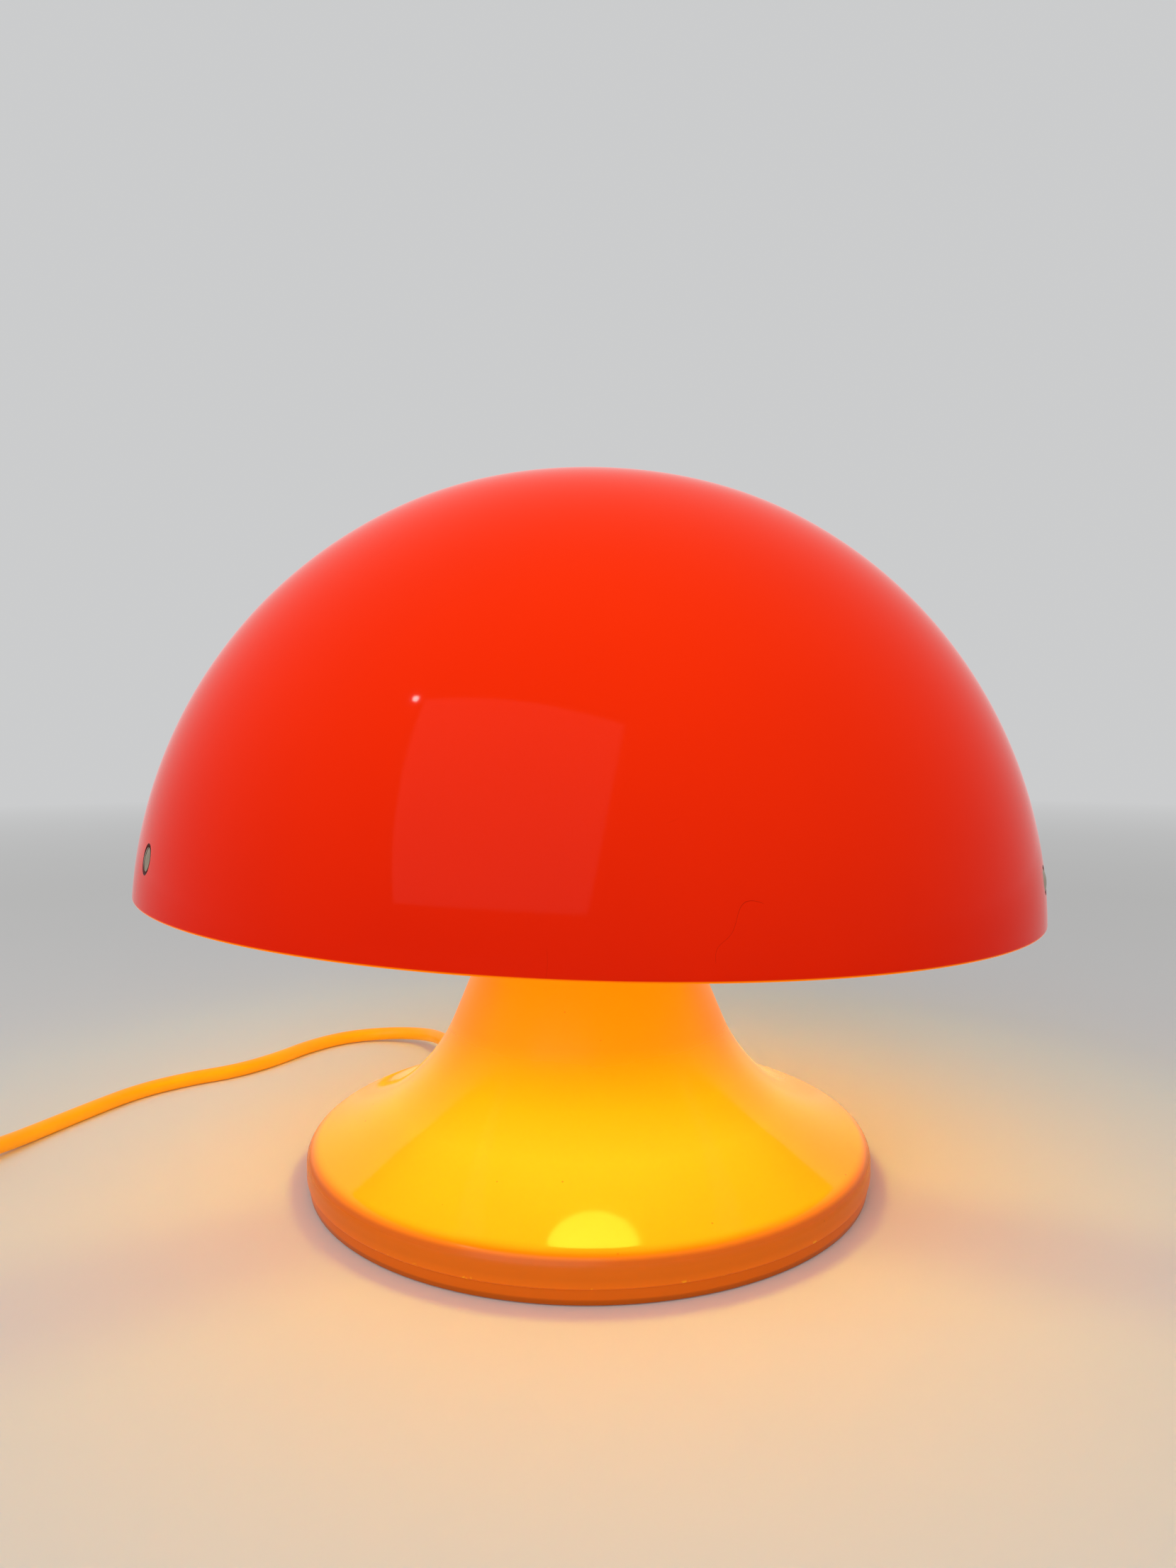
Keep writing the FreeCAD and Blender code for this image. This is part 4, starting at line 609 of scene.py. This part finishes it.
class Finish:
    """A material with one Principled shader, and short calls for the nodes that finishes share."""

    def __init__(self, name, lean=0.0, seat=0.0):
        """Opens the material. Its coordinates are the object's, with the lean about the seat undone."""
        self.material = bpy.data.materials.new(name)
        self.material.use_nodes = True
        self.tree = self.material.node_tree
        self.shader = self.tree.nodes["Principled BSDF"]
        coordinates = self.tree.nodes.new("ShaderNodeTexCoord").outputs["Object"]
        lowered = self.node("ShaderNodeMapping", {"Vector": coordinates, "Location": (0, 0, -seat)})
        upright = self.node("ShaderNodeMapping", {"Vector": lowered.outputs[0],
                                                  "Rotation": (0, -lean, 0)})
        self.where = upright.outputs[0]
        split = self.node("ShaderNodeSeparateXYZ", {"Vector": self.where})
        self.x, self.y, self.height = split.outputs

    def node(self, kind, inputs, **settings):
        """New node, with each input linked to a socket or set to a value."""
        node = self.tree.nodes.new(kind)
        for key, value in settings.items():
            setattr(node, key, value)
        for key, value in inputs.items():
            self.feed(node.inputs[key], value)
        return node

    def feed(self, socket, value):
        """Links a socket to another one, or sets it to a number, vector or colour."""
        if isinstance(value, bpy.types.NodeSocket):
            self.tree.links.new(value, socket)
        elif socket.type == "RGBA":
            socket.default_value = (*value[:3], 1.0)
        else:
            socket.default_value = value

    def set(self, **sockets):
        """Feeds the shader: Base_Color, Roughness and so on, with _ for a space."""
        for key, value in sockets.items():
            self.feed(self.shader.inputs[key.replace("_", " ")], value)
        return self.material

    def noise(self, scale, detail=2.0, rough=0.5, twist=0.0, where=None):
        """Cloudy value about a half, with about scale clouds to the metre."""
        inputs = {"Vector": where or self.where, "Scale": scale, "Detail": detail,
                  "Roughness": rough, "Distortion": twist}
        return self.node("ShaderNodeTexNoise", inputs).outputs["Fac"]

    def stretched(self, scale):
        """Coordinates multiplied by a scale for each axis."""
        return self.node("ShaderNodeMapping", {"Vector": self.where, "Scale": scale}).outputs[0]

    def math(self, operation, first, second=0.0):
        """Result of one of the Math node's operations."""
        return self.node("ShaderNodeMath", {0: first, 1: second}, operation=operation).outputs[0]

    def span(self, value, low, high, to_low=0.0, to_high=1.0):
        """The value mapped from low..high to to_low..to_high, and held there outside."""
        inputs = {"Value": value, "From Min": low, "From Max": high, "To Min": to_low,
                  "To Max": to_high}
        return self.node("ShaderNodeMapRange", inputs).outputs["Result"]

    def ramp(self, value, stops):
        """Colour through stops, each of a position and a colour."""
        node = self.node("ShaderNodeValToRGB", {"Fac": value})
        elements = node.color_ramp.elements
        while len(elements) < len(stops):
            elements.new(0.5)
        for element, (position, tint) in zip(elements, stops):
            element.position = position
            element.color = (*tint, 1.0)
        return node.outputs["Color"]

    def mix(self, amount, first, second):
        """Colour that goes from the first to the second as amount goes from 0 to 1."""
        inputs = {"Factor_Float": amount, "A_Color": first, "B_Color": second}
        node = self.node("ShaderNodeMix", {}, data_type="RGBA")
        for socket in node.inputs:
            if socket.identifier in inputs:
                self.feed(socket, inputs[socket.identifier])
        return node.outputs[2]

    def specks(self, scale, size, crowd):
        """Mask of round specks: near a Voronoi point, in cells whose random shade is under crowd."""
        node = self.node("ShaderNodeTexVoronoi", {"Vector": self.where, "Scale": scale})
        near = self.span(node.outputs["Distance"], 0.6 * size, size, 1.0, 0.0)
        shade = self.node("ShaderNodeSeparateColor", {"Color": node.outputs["Color"]})
        chosen = self.math("LESS_THAN", shade.outputs["Red"], crowd)
        return self.math("MULTIPLY", near, chosen)

    def hairlines(self, scale, width, crowd):
        """Mask of fine curved lines: where one noise crosses a half, and another is over crowd."""
        crossing = self.math("ABSOLUTE", self.math("SUBTRACT", self.noise(scale, 0.0, 0.5, 1.5), 0.5))
        line = self.span(crossing, 0.4 * width, width, 1.0, 0.0)
        stretch = self.span(self.noise(0.9 * scale, 0.0), crowd, crowd + 0.01)
        return self.math("MULTIPLY", line, stretch)

    def bump(self, height, strength, distance):
        """Tilts the surface by a height that spans a distance in metres."""
        node = self.node("ShaderNodeBump", {"Height": height, "Strength": strength,
                                            "Distance": distance})
        self.feed(self.shader.inputs["Normal"], node.outputs["Normal"])


def shaded(tint, amount):
    """Colour multiplied by an amount, and held at 1."""
    return tuple(min(1.0, channel * amount) for channel in tint)


def plastic(name, tint, rough=0.3, variation=0.08, grain=900.0, depth=0.00002, specular=0.5, glow=0.0):
    """Moulded plastic: cloudy colour, uneven gloss and the fine grain of its mould. A glow, where
    given, is painted light of its own colour.
    """
    finish = Finish(name)
    clouds = finish.noise(60.0, 4.0)
    body = finish.ramp(clouds, [(0.3, shaded(tint, 1 - variation)), (0.7, shaded(tint, 1 + variation))])
    smears = finish.noise(25.0, 5.0, 0.6)
    gloss = finish.span(smears, 0.3, 0.7, rough * 0.8, rough * 1.25)
    finish.bump(finish.noise(grain), 0.3, depth)
    if glow:
        finish.set(Emission_Color=body, Emission_Strength=glow)
    return finish.set(Base_Color=body, Roughness=gloss, Specular_IOR_Level=specular)


def metal(name, tint, rough=0.3, stretch=(1.0, 1.0, 12.0), wear=0.25):
    """Metal with drawn lines along one axis and dull patches."""
    finish = Finish(name)
    lines = finish.noise(700.0, 3.0, where=finish.stretched(stretch))
    patches = finish.noise(90.0, 4.0, 0.6)
    body = finish.ramp(patches, [(0.35, shaded(tint, 1 - wear)), (0.65, tint)])
    gloss = finish.span(patches, 0.3, 0.7, rough * 1.4, rough * 0.8)
    finish.bump(lines, 0.25, 0.00003)
    return finish.set(Base_Color=body, Metallic=1.0, Roughness=gloss)


def dome_outside(tints, dome):
    """Opal acrylic with the bulb's light painted on: a painted glow, brightest at the crown and dimmer
    towards the rim, and a bright line of light at its cut edge.

    A few hairline scratches and faint wiping marks break up its polish.
    """
    finish = Finish("opal_acrylic", dome.lean, dome.seat)
    rim = dome.rim - dome.seat
    crown = rim + DOME_HEIGHT
    clouds = finish.span(finish.noise(9.0, 3.0), 0.3, 0.7, -0.05, 0.05)
    level = finish.math("ADD", finish.span(finish.height, rim, crown), clouds)
    # Painted glow and shade: brighter towards the crown, darker towards the rim.
    body = finish.ramp(level, [(0.0, tints.dome_rim), (0.5, tints.dome_side), (0.9, tints.dome_crown)])
    scratched = finish.mix(finish.hairlines(26.0, 0.0012, 0.70), body, shaded(tints.dome_rim, 0.7))
    edge = finish.span(finish.height, rim + 0.0002, rim + 0.0006, 1.0, 0.0)
    tint = finish.mix(edge, scratched, tuple(tints.dome_edge))
    smears = finish.noise(18.0, 5.0, 0.6)
    polish = finish.span(smears, 0.35, 0.75, 0.03, 0.10)
    finish.bump(finish.noise(35.0, 1.0), 0.04, 0.0004)
    return finish.set(Base_Color=tint, Emission_Color=tint, Emission_Strength=dome.glow,
                      Roughness=polish, Specular_IOR_Level=0.045)


def dome_inside(tints, dome):
    """The same acrylic on its lit side, cloudy, with an even faint glow."""
    finish = Finish("opal_acrylic_inside", dome.lean, dome.seat)
    clouds = finish.noise(12.0, 3.0)
    tint = tuple(tints.dome_inside)
    body = finish.ramp(clouds, [(0.3, shaded(tint, 0.85)), (0.7, tint)])
    return finish.set(Base_Color=body, Emission_Color=body, Emission_Strength=dome.glow_inside,
                      Roughness=finish.span(clouds, 0.3, 0.7, 0.12, 0.2))


def hole_grime_and_shade(tints):
    """Painted shade in the countersinks of the dome, with dirt."""
    return plastic("hole_grime_and_shade", shaded(tints.dome_rim, 0.12), 0.6, 0.3)


def base_gloss_and_painted_light(tints, base):
    """White gloss plastic with the lamp's light painted on: an orange neck in the dome's painted orange
    light, a golden flare in the bulb's painted light, and a duller edge band and tray in painted shade.

    Dust lies on it, and the shell's lower edge, at the seam, is chipped in places. The band and the
    neck are satin, the flare polished.
    """
    finish = Finish("base_plastic")
    uneven = finish.span(finish.noise(14.0, 3.0), 0.3, 0.7, -0.002, 0.002)
    level = finish.math("ADD", finish.span(finish.height, 0.0, BASE_HEIGHT), uneven)
    # Colours by height are painted light and shade on white plastic, from the shaded tray and band up
    # to the lit flare and neck.
    body = finish.ramp(level, [
        # Painted shade: the tray's bottom edge is darker, as in shadow near the floor.
        (0.0, shaded(tints.ring, 0.6)),
        (0.018, shaded(tints.ring, 0.7)),
        (0.024, tints.ring),
        (0.055, tints.ring),
        # Painted highlight: a lighter strip along the band's lower edge, where the lip catches light.
        (0.058, shaded(tints.band, 1.15)),
        (0.085, tints.band),
        (0.138, tints.band),
        (0.152, tints.crease),
        (0.167, tints.flare_edge),
        (0.30, tints.flare),
        (0.42, tints.sweep),
        (0.60, tints.neck),
        (0.90, tints.neck_top),
    ])
    dust = finish.math("MAXIMUM", finish.specks(260.0, 0.10, 0.10), finish.specks(90.0, 0.045, 0.06))
    dusty = finish.mix(finish.math("MULTIPLY", dust, 0.45), body, shaded(tints.band, 0.7))
    seam = finish.math("MULTIPLY", finish.span(finish.height, base.lip - 0.0005, base.lip - 0.0001),
                       finish.span(finish.height, base.lip + 0.0005, base.lip + 0.0011, 1.0, 0.0))
    chips = finish.math("MULTIPLY", seam, finish.span(finish.noise(170.0, 4.0, 0.7), 0.60, 0.64))
    chipped = finish.mix(finish.math("MULTIPLY", chips, 0.6), dusty, shaded(tints.flare_edge, 0.8))
    smears = finish.noise(30.0, 5.0, 0.6)
    finish.bump(finish.noise(420.0, 2.0), 0.12, 0.00005)
    polish = finish.span(finish.height, 0.011, 0.015, 0.28, 0.065)
    satin = finish.math("ADD", polish, finish.span(finish.height, 0.030, 0.055, 0.0, 0.24))
    gloss = finish.math("ADD", satin, finish.span(smears, 0.35, 0.75, 0.0, 0.03))
    # Painted glow: emission of the base's own colours, for the lamp's light on it.
    return finish.set(Base_Color=chipped, Emission_Color=chipped, Emission_Strength=base.glow,
                      Roughness=gloss, Specular_IOR_Level=0.17)


def bulb_glass(tints, bulb):
    """Opal glass, lit, with a slightly warmer mottle."""
    finish = Finish("lit_opal_glass")
    clouds = finish.noise(40.0)
    tint = tuple(tints.bulb)
    warm = (tint[0], tint[1] * 0.9, tint[2] * 0.8)
    body = finish.ramp(clouds, [(0.3, warm), (0.7, tint)])
    return finish.set(Base_Color=body, Emission_Color=body, Emission_Strength=bulb.glow,
                      Roughness=finish.span(clouds, 0.3, 0.7, 0.1, 0.2))


def dress(material, *names):
    """Gives CAD nodes a finish."""
    for name in names:
        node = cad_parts[name]
        node.data.materials.clear()
        node.data.materials.append(material)


# Operators

class LAMP_OT_dome(bpy.types.Operator):
    """Build the acrylic dome with its countersunk screw holes and cut rim"""

    bl_idname = "lamp.dome"
    bl_label = "Dome"

    def execute(self, context):
        scene = context.scene
        tints, dome = scene.lamp_finish, scene.lamp_dome
        finishes = [dome_outside(tints, dome), dome_inside(tints, dome), hole_grime_and_shade(tints)]
        piece = mesh_piece("dome", dome_parts(dome), finishes)
        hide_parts("shade_dome")
        return {"FINISHED"}


class LAMP_OT_base(bpy.types.Operator):
    """Build the trumpet shell and finish the tray under it, both with the lamp's light painted on"""

    bl_idname = "lamp.base"
    bl_label = "Base"

    def execute(self, context):
        scene = context.scene
        finish = base_gloss_and_painted_light(scene.lamp_finish, scene.lamp_base)
        grid = base_grid(scene.lamp_base, scene.lamp_dome)
        piece = mesh_piece("trumpet", [(grid, True, 0, None)], [finish])
        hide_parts("base_shell")
        dress(finish, "base_tray")
        return {"FINISHED"}


class LAMP_OT_bulb(bpy.types.Operator):
    """Build the opal globe of the bulb"""

    bl_idname = "lamp.bulb"
    bl_label = "Bulb"

    def execute(self, context):
        scene = context.scene
        bulb = scene.lamp_bulb
        finish = bulb_glass(scene.lamp_finish, bulb)
        outside = bulb_grid(bulb, scene.lamp_dome, 0.0)
        inside = bulb_grid(bulb, scene.lamp_dome, bulb.glass)
        foot = np.stack([outside[-1], inside[-1]])
        parts = [(grid, True, 0, None) for grid in (outside, inside, foot)]
        piece = mesh_piece("globe", parts, [finish], "bulb")
        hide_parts("bulb_glass")
        return {"FINISHED"}


class LAMP_OT_lead(bpy.types.Operator):
    """Lay the flex from the base to the switch, through the coil and to the plug"""

    bl_idname = "lamp.lead"
    bl_label = "Lead"

    def execute(self, context):
        scene = context.scene
        lead = scene.lamp_lead
        tint = tuple(scene.lamp_finish.flex)
        # Painted light: the flex, switch and plug get the lamp-lit colour and a painted glow of it.
        sheath = plastic("flex_sheath", tint, 0.35, 0.06, specular=0.25, glow=0.2)
        fittings = plastic("lead_fittings", tint, 0.22, 0.04, specular=0.25, glow=0.2)
        first = flex_curve("flex_to_switch", LAMP_TO_SWITCH, lead.radius, sheath)
        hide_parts("flex_lead")
        route = np.concatenate([SWITCH_TO_COIL, coil_route(lead), COIL_TO_PLUG])
        second = flex_curve("flex_to_plug", route, lead.radius, sheath)
        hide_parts("flex_tail", "flex_coil", "flex_end")
        dress(sheath, "inner_flex", "switch_flex", "plug_flex", "cord_gland", "plug_boot")
        dress(fittings, "switch_lower", "switch_upper", "plug_body")
        return {"FINISHED"}


class LAMP_OT_fittings(bpy.types.Operator):
    """Finish the screws, the carrier, the lamp holder and the small parts"""

    bl_idname = "lamp.fittings"
    bl_label = "Fittings"

    def execute(self, context):
        tints = context.scene.lamp_finish
        steel = metal("screw_steel", tuple(tints.steel), 0.35)
        dress(steel, "shade_screws", "shade_washers", "shade_nuts", "tray_screws", "ballast_screws",
              "clamp_screws", "switch_screws", "switch_pivot", "nipple", "nipple_washers",
              "nipple_nuts")
        dress(plastic("carrier_enamel", (0.62, 0.60, 0.56), 0.3, 0.05), "carrier_hub",
              "carrier_arm_1", "carrier_arm_2", "carrier_arm_3", "arm_rivets")
        dress(plastic("holder_bakelite", (0.70, 0.68, 0.62), 0.25, 0.05), "holder_cap", "holder_body")
        dress(plastic("ceramic", (0.72, 0.69, 0.62), 0.5, 0.05), "holder_insulator")
        dress(metal("brass", (0.62, 0.42, 0.15), 0.25), "holder_sleeve", "holder_contact",
              "holder_terminals", "switch_contacts")
        dress(metal("cap_aluminium", (0.62, 0.62, 0.60), 0.25), "bulb_cap", "bulb_tip")
        dress(plastic("black_glass", (0.02, 0.02, 0.02), 0.15), "bulb_insulator")
        dress(plastic("pad_rubber", (0.03, 0.03, 0.03), 0.8, 0.1, 1500.0, 0.0001), "foot_pads")
        dress(plastic("cast_iron", (0.06, 0.06, 0.06), 0.7, 0.2, 500.0, 0.0003), "ballast")
        dress(plastic("live_core", (0.16, 0.06, 0.02), 0.4), "core_live")
        dress(plastic("neutral_core", (0.02, 0.09, 0.35), 0.4), "core_neutral")
        dress(plastic("clamp_nylon", (0.62, 0.60, 0.55), 0.5), "cord_clamp")
        dress(plastic("tie_plastic", (0.70, 0.68, 0.62), 0.45), "coil_tie")
        dress(plastic("rocker_plastic", (0.70, 0.66, 0.58), 0.25), "switch_rocker")
        dress(metal("pin_nickel", (0.70, 0.66, 0.55), 0.2), "plug_pins")
        return {"FINISHED"}


class LAMP_OT_stage(bpy.types.Operator):
    """Set the pale floor and backdrop, the soft studio light and the camera"""

    bl_idname = "lamp.stage"
    bl_label = "Studio"

    def execute(self, context):
        stage = context.scene.lamp_stage
        self.lay_floor(context.scene.lamp_finish, stage)
        self.light_room(context.scene, stage)
        self.hang_lamp("key_light", stage.key_place, stage.aim, stage.key_size, stage.key)
        self.hang_lamp("glint_light", stage.glint_place, stage.aim, stage.glint_size, stage.glint)
        self.set_camera(context.scene, stage)
        context.scene.view_settings.view_transform = "Standard"
        return {"FINISHED"}

    def seen(self, tree):
        """1 for camera, glossy and transmission rays, and 0 for those that only light things."""
        path = tree.nodes.new("ShaderNodeLightPath")
        most = path.outputs["Is Camera Ray"]
        for kind in ("Is Glossy Ray", "Is Transmission Ray"):
            node = tree.nodes.new("ShaderNodeMath")
            node.operation = "MAXIMUM"
            tree.links.new(most, node.inputs[0])
            tree.links.new(path.outputs[kind], node.inputs[1])
            most = node.outputs[0]
        return most

    def lay_floor(self, tints, stage):
        """Round floor of faint clouds, which shows as the backdrop's colour far from the lamp."""
        turns = once_round(96)
        rim = np.stack([stage.floor * np.cos(turns), stage.floor * np.sin(turns), 0 * turns], -1)
        mesh = bpy.data.meshes.new("studio_floor")
        mesh.from_pydata(rim, [], [list(range(len(turns)))])
        finish = Finish("floor_paint")
        clouds = finish.noise(3.0, 3.0)
        body = finish.ramp(clouds, [(0.3, shaded(tints.floor, 0.985)), (0.7, tuple(tints.floor))])
        finish.set(Base_Color=body, Roughness=0.7, Specular_IOR_Level=0.0)
        away = finish.node("ShaderNodeVectorMath", {0: finish.where}, operation="LENGTH")
        far = finish.span(away.outputs["Value"], stage.fade_from, stage.fade_to)
        share_far = finish.math("MULTIPLY", far, self.seen(finish.tree))
        light = finish.node("ShaderNodeEmission", {"Color": stage.backdrop})
        merged = finish.node("ShaderNodeMixShader", {0: share_far, 1: finish.shader.outputs[0],
                                                     2: light.outputs[0]})
        finish.tree.links.new(merged.outputs[0],
                              finish.tree.nodes["Material Output"].inputs["Surface"])
        mesh.materials.append(finish.material)
        floor = bpy.data.objects.new("studio_floor", mesh)
        bpy.context.scene.collection.objects.link(floor)

    def light_room(self, scene, stage):
        """Even white light, with the backdrop's colour where it is seen."""
        scene.world = bpy.data.worlds.new("studio_room")
        scene.world.use_nodes = True
        tree = scene.world.node_tree
        light = tree.nodes["Background"]
        light.inputs["Strength"].default_value = stage.room
        light.inputs["Color"].default_value = (1.0, 1.0, 1.0, 1.0)
        backdrop = tree.nodes.new("ShaderNodeBackground")
        backdrop.inputs["Color"].default_value = (*stage.backdrop, 1.0)
        merged = tree.nodes.new("ShaderNodeMixShader")
        tree.links.new(self.seen(tree), merged.inputs[0])
        tree.links.new(light.outputs[0], merged.inputs[1])
        tree.links.new(backdrop.outputs[0], merged.inputs[2])
        tree.links.new(merged.outputs[0], tree.nodes["World Output"].inputs["Surface"])

    def hang_lamp(self, name, where, aim, size, radiance):
        """Square lamp aimed at a height on the axis, of power pi times its area and radiance."""
        data = bpy.data.lights.new(name, "AREA")
        data.shape = "SQUARE"
        data.size = size
        data.energy = math.pi * size ** 2 * radiance
        lamp = bpy.data.objects.new(name, data)
        lamp.location = where
        beam = Vector((0.0, 0.0, aim)) - Vector(where)
        lamp.rotation_euler = beam.to_track_quat("-Z", "Y").to_euler()
        bpy.context.scene.collection.objects.link(lamp)

    def set_camera(self, scene, stage):
        """Camera that looks along +Y and down by its pitch, then turned by its roll."""
        data = bpy.data.cameras.new("photo_camera")
        data.sensor_fit = "VERTICAL"
        data.sensor_height = 36.0
        data.lens = stage.lens
        data.clip_start = 0.01
        data.clip_end = 50.0
        camera = bpy.data.objects.new("photo_camera", data)
        camera.location = stage.eye
        camera.rotation_euler = Euler((math.pi / 2 - stage.pitch, 0.0, 0.0))
        camera.rotation_euler.rotate_axis("Z", stage.roll)
        scene.collection.objects.link(camera)
        scene.camera = camera


class LAMP_PT_panel(bpy.types.Panel):
    """Lists the lamp's pieces"""

    bl_idname = "LAMP_PT_panel"
    bl_label = "Mushroom lamp"
    bl_space_type = "VIEW_3D"
    bl_region_type = "UI"
    bl_category = "Lamp"

    def draw(self, context):
        """One button for each operator."""
        for operator in OPERATORS:
            self.layout.operator(operator.bl_idname)


OPERATORS = [LAMP_OT_dome, LAMP_OT_base, LAMP_OT_bulb, LAMP_OT_lead, LAMP_OT_fittings, LAMP_OT_stage]


def register():
    """Registers the settings on the scene, then the operators and the panel."""
    for group in SETTINGS.values():
        bpy.utils.register_class(group)
    for name, group in SETTINGS.items():
        setattr(bpy.types.Scene, name, PointerProperty(type=group))
    for operator in OPERATORS:
        bpy.utils.register_class(operator)
    bpy.utils.register_class(LAMP_PT_panel)


def unregister():
    """Takes everything away again, in the reverse order."""
    bpy.utils.unregister_class(LAMP_PT_panel)
    for operator in reversed(OPERATORS):
        bpy.utils.unregister_class(operator)
    for name, group in reversed(SETTINGS.items()):
        delattr(bpy.types.Scene, name)
        bpy.utils.unregister_class(group)


def main():
    register()
    bpy.ops.lamp.stage()
    bpy.ops.lamp.lead()
    bpy.ops.lamp.dome()
    bpy.ops.lamp.base()
    bpy.ops.lamp.bulb()
    bpy.ops.lamp.fittings()


if __name__ == "__main__":
    main()
